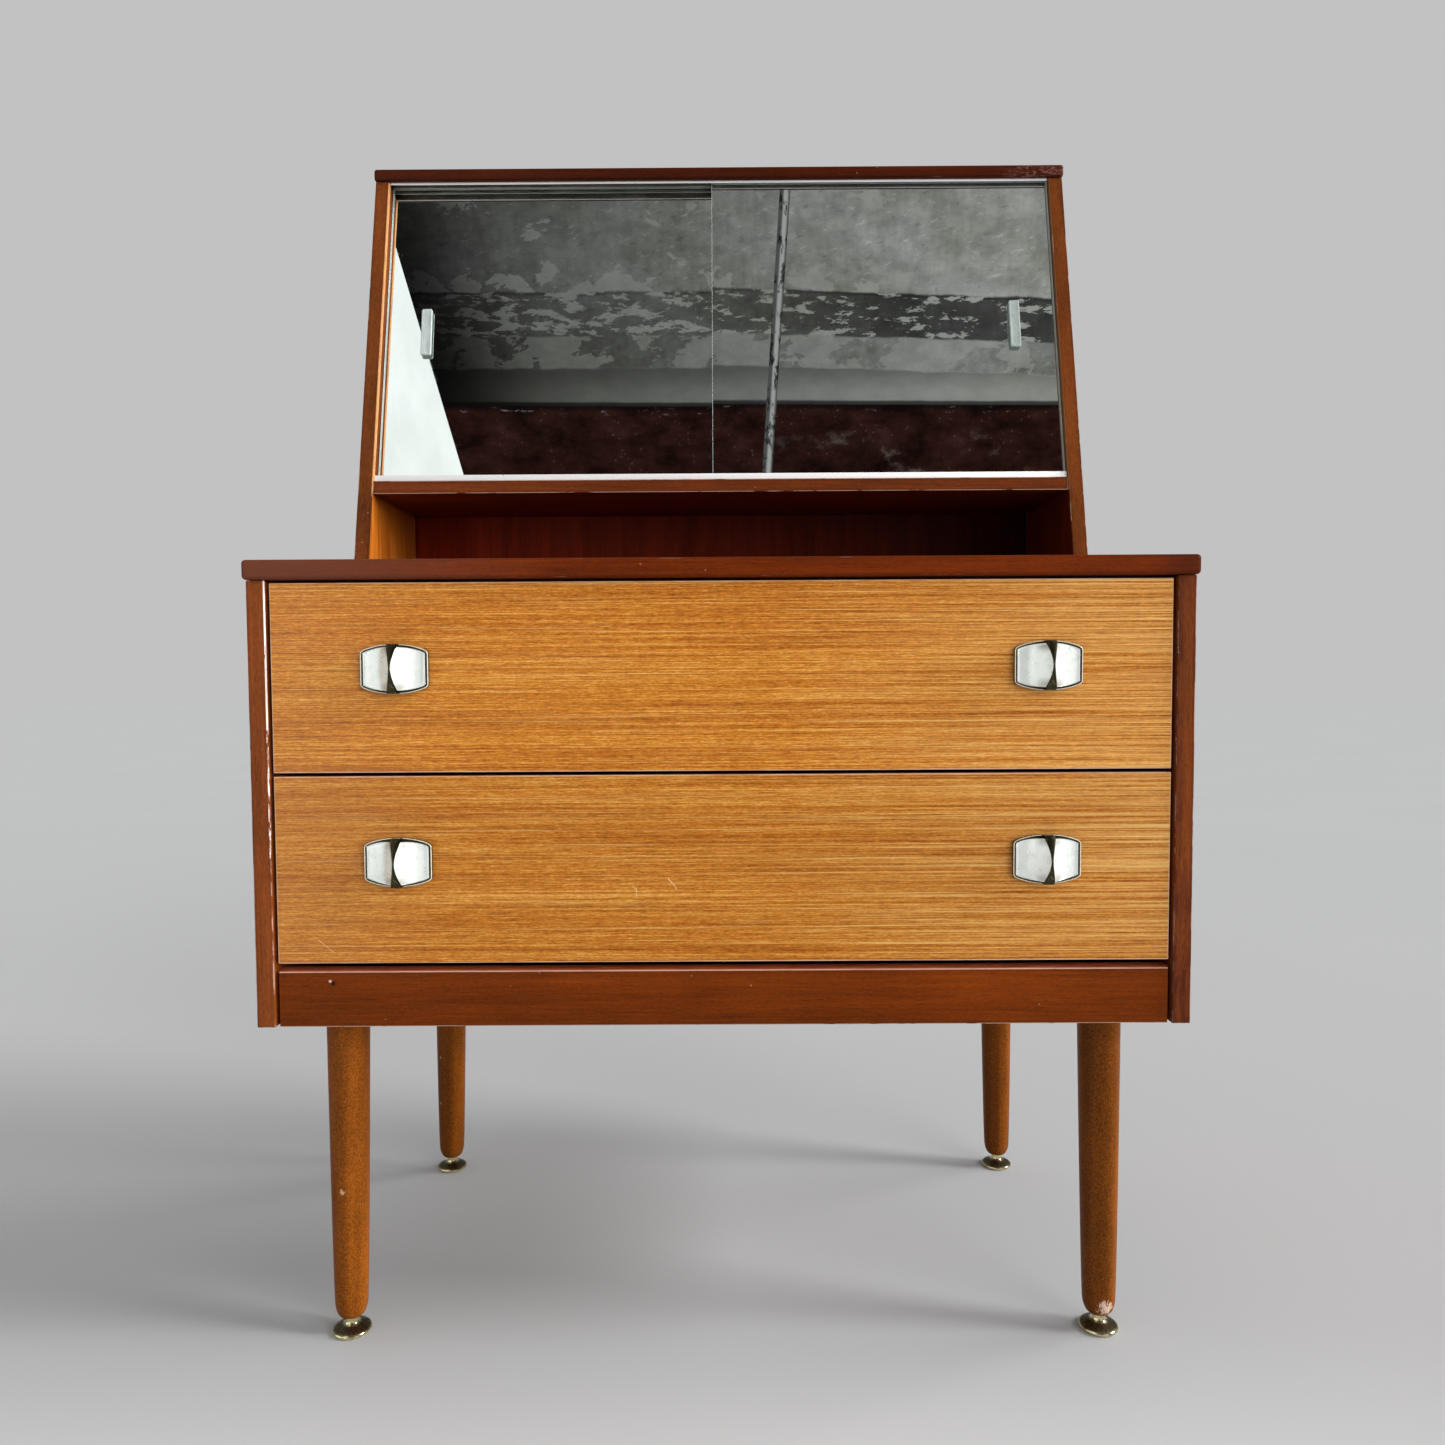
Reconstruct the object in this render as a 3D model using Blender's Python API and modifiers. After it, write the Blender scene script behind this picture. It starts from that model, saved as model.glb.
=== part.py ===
"""Vanity table with mirror.

A two-drawer case on four turned legs carries a cabinet whose front slants back. Two mirror doors slide in an
aluminium double track across the cabinet, over an open compartment that stands on the desk top.

Metres, +Z up. The front faces -Y and +X is to the right as seen from the front. The origin is on the floor,
under the middle of the object's box.
"""

import math

import bmesh
import bpy
from mathutils import Matrix, Vector

# ---------------------------------------------------------------- driving dimensions

GAP = 0.0003  # left between two solids that touch
BOARD = 0.015  # side boards of the case and of the cabinet

CASE_WIDTH = 0.762
CASE_DEPTH = 0.430
CASE_BOTTOM = 0.288
DESK_UNDERSIDE = 0.652
DESK_THICKNESS = 0.016
DESK_WIDTH = 0.767
DESK_OVERHANG = 0.003

CAP_UNDERSIDE = 1.129
CAP_THICKNESS = 0.013
CAP_WIDTH = 0.765
CAP_OVERHANG = 0.003
SLANT_FOOT = 0.248  # cabinet's front edge behind the case's front, at the desk top
SLANT_HEAD = 0.353  # and under the cap
SHELF_LOW = 0.7706
SHELF_THICKNESS = 0.014
PANEL = 0.004  # back panels and drawer bottoms
SETBACK = 0.002  # drawer fronts and plinth stand this far behind the sides' edges

PLINTH_HEIGHT = 0.0458
PLINTH_THICKNESS = 0.018
PLINTH_GAP = 0.0067  # between the plinth and the lower drawer front
PLINTH_REBATE = 0.006  # depth of the rebates at its ends, which line up with the drawers' gaps
BASE_THICKNESS = 0.012
BASE_RECESS = 0.002  # base panel's underside above the case's lower edge
RAIL_HEIGHT = 0.020
RAIL_DEPTH = 0.040

DRAWER_NAMES = ("lower", "upper")
DRAWER_FRONT_WIDTH = 0.7262
DRAWER_FRONT_HEIGHT = 0.153
DRAWER_FRONT_THICKNESS = 0.016
DRAWER_GAP = 0.003  # between the two drawer fronts
DRAWER_SIDE = 0.012
DRAWER_SIDE_HEIGHT = 0.120
DRAWER_SIDE_LIFT = 0.012  # drawer side's underside above its front's
DRAWER_BOX_WIDTH = 0.725
DRAWER_BOX_LENGTH = 0.380
BOTTOM_LIFT = 0.008  # drawer bottom's underside above the sides'
BOTTOM_TONGUE = 0.004  # how far it reaches into its grooves
RUNNER_HEIGHT = 0.016
RUNNER_WIDTH = 0.008
RUNNER_LENGTH = 0.380
RUNNER_LIFT = 0.052  # runner's underside above the drawer side's
RUNNER_PLAY = 0.0005

HANDLE_X = 0.2623
HANDLE_LIFT = 0.007  # above the middle of the drawer front
HANDLE_HALF_WIDTH = 0.0273
HANDLE_HALF_HEIGHT = 0.0199
HANDLE_CORNER = 0.0065  # corner radius of its outline
HANDLE_CROWN = 0.0036  # how much its top and bottom edges bulge
HANDLE_HEIGHT = 0.0185  # crest of the web above the drawer front
HANDLE_RIM = 0.0045
HANDLE_RIM_WIDTH = 0.0022
WEB_END_HEIGHT = 0.0112
WEB_HALF_WIDTH = 0.0007
WEB_END_HALF_WIDTH = 0.0044
WEB_DRAFT = 0.0001  # how far the foot of its wall stands out past its crest
SCOOP_FLOOR = 0.0034
LINER = 0.0005
SCREW_RADIUS = 0.0020
SCREW_HOLE_RADIUS = 0.0024
SCREW_REACH = 0.008  # into the handle
SCREW_HEAD_RADIUS = 0.0040
SCREW_HEAD_HEIGHT = 0.0024

LEG_FRONT = (0.3257, 0.055)  # x at the top, and distance behind the case's front
LEG_REAR = (0.3190, 0.376)
LEG_SPLAY = math.radians(0.6)  # outward, in X only
LEG_TOP = 0.2868
LEG_FOOT = 0.0150
LEG_HEAD_RADIUS = 0.0181
LEG_SHOULDER = 0.0300  # where the taper ends and the foot rounds in
LEG_SHOULDER_RADIUS = 0.0140
LEG_FOOT_RADIUS = 0.0080
LEG_BELLY = 0.75  # power of the taper: under 1 it swells a little on its way up
LEG_BORE_RADIUS = 0.0040
LEG_BORE_TOP = 0.0400
PLATE_SIDE = 0.060
PLATE_THICKNESS = 0.0025

GLIDE_RADIUS = 0.0167
GLIDE_NECK = 0.0060
GLIDE_NECK_TOP = 0.0145
GLIDE_STEM = 0.0030
GLIDE_STEM_TOP = 0.0370

TRACK_SETBACK = 0.0026  # front wall of the tracks behind the sides' slanted edges
TRACK_WALL = 0.0016
TRACK_GROOVE = 0.0064
TRACK_BASE = 0.0015
TRACK_LOW_HEIGHT = 0.0062
TRACK_TOP_LIP = 0.0024  # how far the upper track hangs below the cap
TRACK_TOP_RECESS = 0.0085  # how far it is let into the cap

MIRROR_THICKNESS = 0.004
MIRROR_WIDTH = 0.3735
MIRROR_SIDE_GAP = 0.0005
MIRROR_LIFT = 0.0006  # above the floor of the lower groove
MIRROR_TOP = 1.1295
PULL_X = 0.3205
PULL_Z = {"left": 0.9555, "right": 0.9580}
PULL_WIDTH = 0.0125
PULL_LENGTH = 0.0555
PULL_THICKNESS = 0.0022

EDGE_FINE = 0.0006
EDGE_BOARD = 0.0010
EDGE_TOP = 0.0030

# ---------------------------------------------------------------- worked out from them

HANDLE_PROUD = HANDLE_HEIGHT + GAP - SETBACK
CASE_FRONT = -(CASE_DEPTH - HANDLE_PROUD) / 2
CASE_BACK = CASE_FRONT + CASE_DEPTH
HALF_WIDTH = CASE_WIDTH / 2
INNER = HALF_WIDTH - BOARD
DESK_SURFACE = DESK_UNDERSIDE + DESK_THICKNESS
PANEL_FRONT = CASE_BACK - PANEL
SLANT = math.atan2(SLANT_HEAD - SLANT_FOOT, CAP_UNDERSIDE - DESK_SURFACE)
FACE = CASE_FRONT + SETBACK  # front of the drawer fronts and of the plinth
FACE_BACK = FACE + DRAWER_FRONT_THICKNESS
TRACK_FLOOR = SHELF_LOW + SHELF_THICKNESS + GAP + TRACK_BASE
TRACK_PITCH = TRACK_WALL + TRACK_GROOVE

MATERIALS = {  # colour, roughness, metallic
    "case_wood": ((0.145, 0.036, 0.014), 0.38, 0.0),
    "drawer_veneer": ((0.420, 0.165, 0.045), 0.42, 0.0),
    "drawer_carcass": ((0.520, 0.340, 0.180), 0.60, 0.0),
    "panel_board": ((0.260, 0.110, 0.050), 0.65, 0.0),
    "leg_wood": ((0.300, 0.100, 0.025), 0.40, 0.0),
    "aged_brass": ((0.360, 0.290, 0.150), 0.35, 1.0),
    "polished_aluminium": ((0.860, 0.870, 0.860), 0.22, 1.0),
    "track_aluminium": ((0.880, 0.880, 0.870), 0.30, 1.0),
    "mirror": ((0.780, 0.810, 0.800), 0.03, 1.0),
    "frosted_pull": ((0.720, 0.780, 0.760), 0.35, 0.0),
    "zinc_steel": ((0.550, 0.550, 0.540), 0.35, 1.0),
}

# ---------------------------------------------------------------- tools

for old in list(bpy.data.objects):
    bpy.data.objects.remove(old, do_unlink=True)

parts = bpy.data.collections.new("vanity_table_with_mirror")
cutters = bpy.data.collections.new("cutters")
bpy.context.scene.collection.children.link(parts)
bpy.context.scene.collection.children.link(cutters)


def place(obj, collection):
    """Moves an object into one collection."""
    for other in list(obj.users_collection):
        other.objects.unlink(obj)
    collection.objects.link(obj)


def finish(obj, name, material_name):
    """Names a piece, files it with the parts and gives it a material of its own."""
    obj.name = name
    obj.data.name = name
    place(obj, parts)
    colour, roughness, metallic = MATERIALS[material_name]
    material = bpy.data.materials.new(name + "_" + material_name)
    material.use_nodes = True
    shader = material.node_tree.nodes["Principled BSDF"]
    shader.inputs["Base Color"].default_value = (*colour, 1.0)
    shader.inputs["Roughness"].default_value = roughness
    shader.inputs["Metallic"].default_value = metallic
    obj.data.materials.clear()
    obj.data.materials.append(material)
    return obj


def ease(obj, width, segments=2):
    """Rounds a piece's sharp edges."""
    bevel = obj.modifiers.new("eased edges", "BEVEL")
    bevel.width = width
    bevel.segments = segments
    bevel.limit_method = "ANGLE"
    bevel.angle_limit = math.radians(30)


def cut(obj, cutter):
    """Takes the cutter's shape out of a piece."""
    boolean = obj.modifiers.new(cutter.name, "BOOLEAN")
    boolean.operation = "DIFFERENCE"
    boolean.solver = "EXACT"
    boolean.object = cutter


def as_cutter(obj, name):
    """Files an object with the cutters, out of the render."""
    obj.name = name
    place(obj, cutters)
    obj.hide_render = True
    obj.display_type = "WIRE"
    return obj


def block(low, high):
    """A plain box between two corners."""
    low = Vector(low)
    high = Vector(high)
    bpy.ops.mesh.primitive_cube_add(size=1.0, location=(low + high) / 2)
    obj = bpy.context.object
    obj.scale = high - low
    bpy.ops.object.transform_apply(location=False, rotation=False, scale=True)
    return obj


def board(name, low, high, material_name, edge=EDGE_FINE, segments=1):
    """A board between two corners, with eased edges."""
    obj = finish(block(low, high), name, material_name)
    ease(obj, edge, segments)
    return obj


def box_cutter(name, low, high):
    """A box that cuts."""
    return as_cutter(block(low, high), name)


def extrusion(outline, x_low, x_high):
    """A mesh object of constant section along X. The outline lists its (y, z) corners."""
    curve = bpy.data.curves.new("outline", "CURVE")
    curve.dimensions = "2D"
    curve.fill_mode = "BOTH"
    curve.extrude = (x_high - x_low) / 2
    spline = curve.splines.new("POLY")
    spline.points.add(len(outline) - 1)
    spline.use_cyclic_u = True
    for point, (y, z) in zip(spline.points, outline):
        point.co = (y, z, 0.0, 1.0)
    guide = bpy.data.objects.new("outline", curve)
    bpy.context.scene.collection.objects.link(guide)
    evaluated = guide.evaluated_get(bpy.context.evaluated_depsgraph_get())
    mesh = bpy.data.meshes.new_from_object(evaluated)
    bpy.data.objects.remove(guide, do_unlink=True)
    welded = bmesh.new()
    welded.from_mesh(mesh)
    bmesh.ops.remove_doubles(welded, verts=welded.verts, dist=1e-6)
    bmesh.ops.recalc_face_normals(welded, faces=welded.faces)
    welded.to_mesh(mesh)
    welded.free()
    obj = bpy.data.objects.new("extrusion", mesh)
    obj.location = ((x_low + x_high) / 2, 0.0, 0.0)
    obj.rotation_euler = (math.pi / 2, 0.0, math.pi / 2)
    bpy.context.scene.collection.objects.link(obj)
    return obj


def turned(name, profile, location, material_name, steps):
    """A turned piece. The profile's (radius, z) points run down its outer side, from axis to axis."""
    mesh = bpy.data.meshes.new(name)
    points = [(radius, 0.0, z) for radius, z in profile]
    edges = [(index, index + 1) for index in range(len(points) - 1)]
    mesh.from_pydata(points, edges, [])
    obj = bpy.data.objects.new(name, mesh)
    bpy.context.scene.collection.objects.link(obj)
    obj.location = location
    screw = obj.modifiers.new("turn", "SCREW")
    screw.steps = steps
    screw.render_steps = steps
    screw.use_merge_vertices = True
    screw.merge_threshold = 0.00001
    return finish(obj, name, material_name)


def lofted(front, back):
    """A closed mesh object between two sheets of points, each a list of rows of equal length."""
    height = len(front)
    width = len(front[0])
    solid = bmesh.new()
    sheets = [[[solid.verts.new(point) for point in row] for row in sheet] for sheet in (front, back)]
    for row in range(height - 1):
        for column in range(width - 1):
            for sheet in sheets:
                solid.faces.new(
                    (
                        sheet[row][column],
                        sheet[row][column + 1],
                        sheet[row + 1][column + 1],
                        sheet[row + 1][column],
                    )
                )
    border = [(0, column) for column in range(width)]
    border += [(row, width - 1) for row in range(1, height)]
    border += [(height - 1, column) for column in reversed(range(width - 1))]
    border += [(row, 0) for row in reversed(range(1, height - 1))]
    for here, there in zip(border, border[1:] + border[:1]):
        corners = [sheets[side][row][column] for side, (row, column) in ((0, here), (0, there), (1, there), (1, here))]
        solid.faces.new(corners)
    bmesh.ops.remove_doubles(solid, verts=solid.verts, dist=1e-6)
    bmesh.ops.dissolve_limit(
        solid, angle_limit=math.radians(0.05), verts=solid.verts, edges=solid.edges
    )
    bmesh.ops.recalc_face_normals(solid, faces=solid.faces)
    mesh = bpy.data.meshes.new("loft")
    solid.to_mesh(mesh)
    solid.free()
    obj = bpy.data.objects.new("loft", mesh)
    bpy.context.scene.collection.objects.link(obj)
    return obj


def empty(name, location):
    """The frame that a moving group of pieces hangs on."""
    obj = bpy.data.objects.new(name, None)
    obj.location = location
    parts.objects.link(obj)
    bpy.context.view_layer.update()
    return obj


def hang(group, pieces):
    """Parents pieces to their group's empty without moving them."""
    bpy.context.view_layer.update()
    for piece in pieces:
        piece.parent = group
        piece.matrix_parent_inverse = group.matrix_world.inverted()


def slant_y(z, depth=0.0):
    """Y at height z of the plane that lies depth behind the cabinet's slanted front."""
    rise = z - DESK_SURFACE
    return CASE_FRONT + SLANT_FOOT + rise * math.tan(SLANT) + depth / math.cos(SLANT)


# ---------------------------------------------------------------- case

for side, name in ((-1, "left"), (1, "right")):
    x_low, x_high = sorted((side * INNER, side * HALF_WIDTH))
    board(
        "case_side_" + name,
        (x_low, CASE_FRONT, CASE_BOTTOM),
        (x_high, CASE_BACK, DESK_UNDERSIDE - GAP),
        "case_wood",
        EDGE_BOARD,
        segments=2,
    )

board(
    "desk_top",
    (-DESK_WIDTH / 2, CASE_FRONT - DESK_OVERHANG, DESK_UNDERSIDE),
    (DESK_WIDTH / 2, CASE_BACK, DESK_SURFACE),
    "case_wood",
    EDGE_TOP,
    segments=3,
)

BETWEEN = INNER - GAP
PLINTH_BACK = FACE + PLINTH_THICKNESS
BASE_LOW = CASE_BOTTOM + BASE_RECESS

plinth = finish(
    block((-BETWEEN, FACE, CASE_BOTTOM), (BETWEEN, PLINTH_BACK, CASE_BOTTOM + PLINTH_HEIGHT)),
    "plinth_rail",
    "case_wood",
)
for side, name in ((-1, "left"), (1, "right")):
    x_low, x_high = sorted((side * DRAWER_FRONT_WIDTH / 2, side * HALF_WIDTH))
    rebate = box_cutter(
        "plinth_rebate_" + name,
        (x_low, FACE - 0.01, CASE_BOTTOM - 0.01),
        (x_high, FACE + PLINTH_REBATE, CASE_BOTTOM + PLINTH_HEIGHT + 0.01),
    )
    cut(plinth, rebate)
ease(plinth, EDGE_FINE)
board(
    "base_panel",
    (-BETWEEN, PLINTH_BACK + GAP, BASE_LOW),
    (BETWEEN, PANEL_FRONT - GAP, BASE_LOW + BASE_THICKNESS),
    "panel_board",
)
board(
    "case_back_panel",
    (-BETWEEN, PANEL_FRONT, BASE_LOW),
    (BETWEEN, CASE_BACK, DESK_UNDERSIDE - GAP),
    "panel_board",
)

rail_high = DESK_UNDERSIDE - GAP
rail_low = rail_high - RAIL_HEIGHT
rail_front = FACE_BACK + 0.006
board(
    "top_front_rail",
    (-BETWEEN, rail_front, rail_low),
    (BETWEEN, rail_front + RAIL_DEPTH, rail_high),
    "drawer_carcass",
)

# ---------------------------------------------------------------- legs and glides


def leg_profile():
    """Down the leg: a long, slightly swelling taper, a rounded foot, and the bore for the glide's stem."""
    profile = [(0.0, LEG_TOP)]
    steps = 7
    for step in range(steps):
        rise = 1.0 - step / steps
        radius = LEG_SHOULDER_RADIUS + (LEG_HEAD_RADIUS - LEG_SHOULDER_RADIUS) * rise**LEG_BELLY
        profile.append((radius, LEG_SHOULDER + (LEG_TOP - LEG_SHOULDER) * rise))
    turns = 4
    for turn in range(turns + 1):
        angle = math.pi / 2 * turn / turns
        radius = LEG_FOOT_RADIUS + (LEG_SHOULDER_RADIUS - LEG_FOOT_RADIUS) * math.cos(angle)
        profile.append((radius, LEG_SHOULDER - (LEG_SHOULDER - LEG_FOOT) * math.sin(angle)))
    profile += [(LEG_BORE_RADIUS, LEG_FOOT), (LEG_BORE_RADIUS, LEG_BORE_TOP), (0.0, LEG_BORE_TOP)]
    return [(radius, z - LEG_TOP) for radius, z in profile]


GLIDE_PROFILE = (
    (0.0, GLIDE_STEM_TOP),
    (GLIDE_STEM, GLIDE_STEM_TOP),
    (GLIDE_STEM, GLIDE_NECK_TOP),
    (GLIDE_NECK, GLIDE_NECK_TOP),
    (GLIDE_NECK, 0.0095),
    (0.0078, 0.0078),
    (0.0125, 0.0058),
    (GLIDE_RADIUS - 0.0008, 0.0034),
    (GLIDE_RADIUS, 0.0026),
    (GLIDE_RADIUS, 0.0012),
    (GLIDE_RADIUS - 0.0012, 0.0),
    (0.0, 0.0),
)

for place_name, (leg_x, leg_depth) in (("front", LEG_FRONT), ("rear", LEG_REAR)):
    for side, side_name in ((-1, "left"), (1, "right")):
        suffix = place_name + "_" + side_name
        x = side * leg_x
        y = CASE_FRONT + leg_depth
        plate = board(
            "leg_plate_" + suffix,
            (x - PLATE_SIDE / 2, y - PLATE_SIDE / 2, BASE_LOW - GAP - PLATE_THICKNESS),
            (x + PLATE_SIDE / 2, y + PLATE_SIDE / 2, BASE_LOW - GAP),
            "zinc_steel",
        )
        leg = turned("leg_" + suffix, leg_profile(), (x, y, LEG_TOP), "leg_wood", steps=24)
        leg.rotation_euler = (0.0, -side * LEG_SPLAY, 0.0)
        foot_x = x + side * (LEG_TOP - LEG_FOOT) * math.tan(LEG_SPLAY)
        turned("glide_" + suffix, GLIDE_PROFILE, (foot_x, y, 0.0), "aged_brass", steps=20)

# ---------------------------------------------------------------- drawers


def handle_edge(x):
    """Half height of the handle's barrel-shaped outline at x: a bulging edge, then a round corner."""
    flat = HANDLE_HALF_WIDTH - HANDLE_CORNER
    x = min(abs(x), HANDLE_HALF_WIDTH)
    if x <= flat:
        return HANDLE_HALF_HEIGHT - HANDLE_CROWN * (x / flat) ** 2
    shoulder = HANDLE_HALF_HEIGHT - HANDLE_CROWN - HANDLE_CORNER
    return shoulder + math.sqrt(max(HANDLE_CORNER**2 - (x - flat) ** 2, 0.0))


def web_half_width(v):
    """Half width of the web between the scoops: an hourglass, v running from -1 to 1 over the height."""
    return WEB_HALF_WIDTH + (WEB_END_HALF_WIDTH - WEB_HALF_WIDTH) * abs(v) ** 1.4


def web_height(v):
    """How far the web's crest stands above the drawer front."""
    return HANDLE_HEIGHT - (HANDLE_HEIGHT - WEB_END_HEIGHT) * v**2


def scoop_height(s, v):
    """Height of a scoop: s is 0 at the web and 1 at the rim, and it falls in a hollow curve."""
    return SCOOP_FLOOR + (web_height(v) - SCOOP_FLOOR) * (1.0 - s) ** 2.2


INNER_EDGE = HANDLE_HALF_WIDTH - HANDLE_RIM_WIDTH
RIM_V = 1.0 - HANDLE_RIM_WIDTH / HANDLE_HALF_HEIGHT
ROWS = (0.0, 0.25, 0.5, 0.75)
SCOOP_STEPS = (0.0, 0.12, 0.28, 0.5, 0.75, 0.88, 0.96, 1.0)


def handle_row(v, scooped, sink):
    """(x, height) along one row of a handle's front, from the middle outwards to the right."""
    web = web_half_width(v)
    row = [(0.0, web_height(v)), (web, web_height(v))]
    for s in SCOOP_STEPS:
        x = max(web + (INNER_EDGE - web) * s, web + WEB_DRAFT)
        row.append((x, scoop_height(s, v) - sink if scooped else HANDLE_RIM))
    for x in (INNER_EDGE, INNER_EDGE + HANDLE_RIM_WIDTH * 0.6, HANDLE_HALF_WIDTH):
        row.append((x, HANDLE_RIM))
    return row


def handle_body(name, centre):
    """The cast body: rim, web and the hollow beds of the two liners."""
    levels = [(v, True) for v in ROWS] + [(RIM_V, True), (RIM_V, False), (1.0, False)]
    levels = [(-v, scooped) for v, scooped in reversed(levels[1:])] + levels
    front = []
    for v, scooped in levels:
        half = handle_row(v, scooped, LINER + GAP)
        row = [(-x, height) for x, height in reversed(half[1:])] + half
        front.append([(x, -height, v * handle_edge(x)) for x, height in row])
    back = [[(x, 0.0, z) for x, _, z in row] for row in front]
    obj = lofted(front, back)
    obj.location = centre
    return finish(obj, name, "aged_brass")


def handle_liner(name, centre, side):
    """One bright liner, pressed into a scoop between the web and the rim."""
    clear = GAP
    front = []
    for v in (-RIM_V, *(-v for v in reversed(ROWS[1:])), *ROWS, RIM_V):
        v *= 1.0 - clear / HANDLE_HALF_HEIGHT
        web = web_half_width(v)
        row = []
        for s in SCOOP_STEPS:
            x = web + clear + (INNER_EDGE - web - 2 * clear) * s
            row.append((side * x, -scoop_height(s, v), v * handle_edge(x)))
        front.append(row)
    back = [[(x, y + LINER, z) for x, y, z in row] for row in front]
    obj = lofted(front, back)
    obj.location = centre
    return finish(obj, name, "polished_aluminium")


def handle_screw(name, centre):
    """The machine screw that holds a handle from inside the drawer."""
    reach = SCREW_REACH + GAP + DRAWER_FRONT_THICKNESS + GAP
    profile = (
        (0.0, SCREW_HEAD_HEIGHT),
        (SCREW_HEAD_RADIUS * 0.7, SCREW_HEAD_HEIGHT),
        (SCREW_HEAD_RADIUS, SCREW_HEAD_HEIGHT * 0.6),
        (SCREW_HEAD_RADIUS, 0.0),
        (SCREW_RADIUS, 0.0),
        (SCREW_RADIUS, -reach),
        (0.0, -reach),
    )
    seat = (centre[0], FACE_BACK + GAP, centre[2])
    obj = turned(name, profile, seat, "zinc_steel", steps=12)
    obj.rotation_euler = (-math.pi / 2, 0.0, 0.0)
    return obj


def screw_cutter(name, centre):
    """The hole of a handle's screw, through the drawer front and into the handle."""
    depth = 0.060
    bpy.ops.mesh.primitive_cylinder_add(vertices=16, radius=SCREW_HOLE_RADIUS, depth=depth)
    obj = bpy.context.object
    tip = FACE - GAP - SCREW_REACH - 0.001
    obj.location = (centre[0], tip + depth / 2, centre[2])
    obj.rotation_euler = (math.pi / 2, 0.0, 0.0)
    return as_cutter(obj, name)


def drawer(name, front_low):
    """One drawer: front, sides grooved for the runners and the bottom, back, bottom and two handles."""
    prefix = name + "_drawer_"
    low = front_low + DRAWER_SIDE_LIFT
    high = low + DRAWER_SIDE_HEIGHT
    box_front = FACE_BACK + GAP
    box_back = FACE_BACK + DRAWER_BOX_LENGTH
    outer = DRAWER_BOX_WIDTH / 2
    inner = outer - DRAWER_SIDE
    bottom_low = low + BOTTOM_LIFT
    bottom_high = bottom_low + PANEL
    pieces = []

    front = board(
        prefix + "front",
        (-DRAWER_FRONT_WIDTH / 2, FACE, front_low),
        (DRAWER_FRONT_WIDTH / 2, FACE_BACK, front_low + DRAWER_FRONT_HEIGHT),
        "drawer_veneer",
        EDGE_FINE,
        segments=2,
    )
    pieces.append(front)
    cut(
        front,
        box_cutter(
            prefix + "bottom_groove",
            (-inner - BOTTOM_TONGUE, FACE_BACK - BOTTOM_TONGUE, bottom_low - GAP),
            (inner + BOTTOM_TONGUE, FACE_BACK + 0.01, bottom_high + GAP),
        ),
    )

    for side, side_name in ((-1, "left"), (1, "right")):
        x_low, x_high = sorted((side * inner, side * outer))
        wall = board(
            prefix + "side_" + side_name,
            (x_low, box_front, low),
            (x_high, box_back, high),
            "drawer_carcass",
        )
        pieces.append(wall)
        grip = outer - (RUNNER_WIDTH - (INNER - outer)) - RUNNER_PLAY
        x_low, x_high = sorted((side * grip, side * (outer + 0.01)))
        cut(
            wall,
            box_cutter(
                prefix + "runner_groove_" + side_name,
                (x_low, box_front + 0.004, low + RUNNER_LIFT - RUNNER_PLAY),
                (x_high, box_back + 0.01, low + RUNNER_LIFT + RUNNER_HEIGHT + RUNNER_PLAY),
            ),
        )
        x_low, x_high = sorted((side * (inner - 0.01), side * (inner + BOTTOM_TONGUE)))
        cut(
            wall,
            box_cutter(
                prefix + "panel_groove_" + side_name,
                (x_low, box_front - 0.01, bottom_low - GAP),
                (x_high, box_back + 0.01, bottom_high + GAP),
            ),
        )

    pieces.append(
        board(
            prefix + "back",
            (-inner + GAP, box_back - DRAWER_SIDE, bottom_high + GAP),
            (inner - GAP, box_back, high - 0.006),
            "drawer_carcass",
        )
    )
    tongue = BOTTOM_TONGUE - GAP
    pieces.append(
        board(
            prefix + "bottom",
            (-inner - tongue, FACE_BACK - tongue, bottom_low),
            (inner + tongue, box_back, bottom_high),
            "panel_board",
            edge=0.0002,
        )
    )

    handle_z = front_low + DRAWER_FRONT_HEIGHT / 2 + HANDLE_LIFT
    for side, side_name in ((-1, "left"), (1, "right")):
        centre = (side * HANDLE_X, FACE - GAP, handle_z)
        suffix = name + "_" + side_name
        hole = screw_cutter("screw_hole_" + suffix, centre)
        body = handle_body("handle_body_" + suffix, centre)
        cut(body, hole)
        cut(front, hole)
        pieces.append(body)
        pieces.append(handle_screw("handle_screw_" + suffix, centre))
        for liner_side, liner_name in ((-1, "liner_a_"), (1, "liner_b_")):
            pieces.append(handle_liner("handle_" + liner_name + suffix, centre, liner_side))

    middle = (0.0, (FACE + box_back) / 2, front_low + DRAWER_FRONT_HEIGHT / 2)
    hang(empty(name + "_drawer", middle), pieces)
    return low


for level, drawer_name in enumerate(DRAWER_NAMES):
    front_low = CASE_BOTTOM + PLINTH_HEIGHT + PLINTH_GAP
    front_low += level * (DRAWER_FRONT_HEIGHT + DRAWER_GAP)
    side_low = drawer(drawer_name, front_low)
    for side, side_name in ((-1, "left"), (1, "right")):
        x_low, x_high = sorted((side * BETWEEN, side * (BETWEEN - RUNNER_WIDTH)))
        board(
            "runner_" + drawer_name + "_" + side_name,
            (x_low, FACE_BACK + 0.008, side_low + RUNNER_LIFT),
            (x_high, FACE_BACK + 0.008 + RUNNER_LENGTH, side_low + RUNNER_LIFT + RUNNER_HEIGHT),
            "drawer_carcass",
        )

# ---------------------------------------------------------------- cabinet

FOOT = DESK_SURFACE + GAP
HEAD = CAP_UNDERSIDE - GAP
SHELF_HIGH = SHELF_LOW + SHELF_THICKNESS
cabinet_back = CASE_BACK

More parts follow.
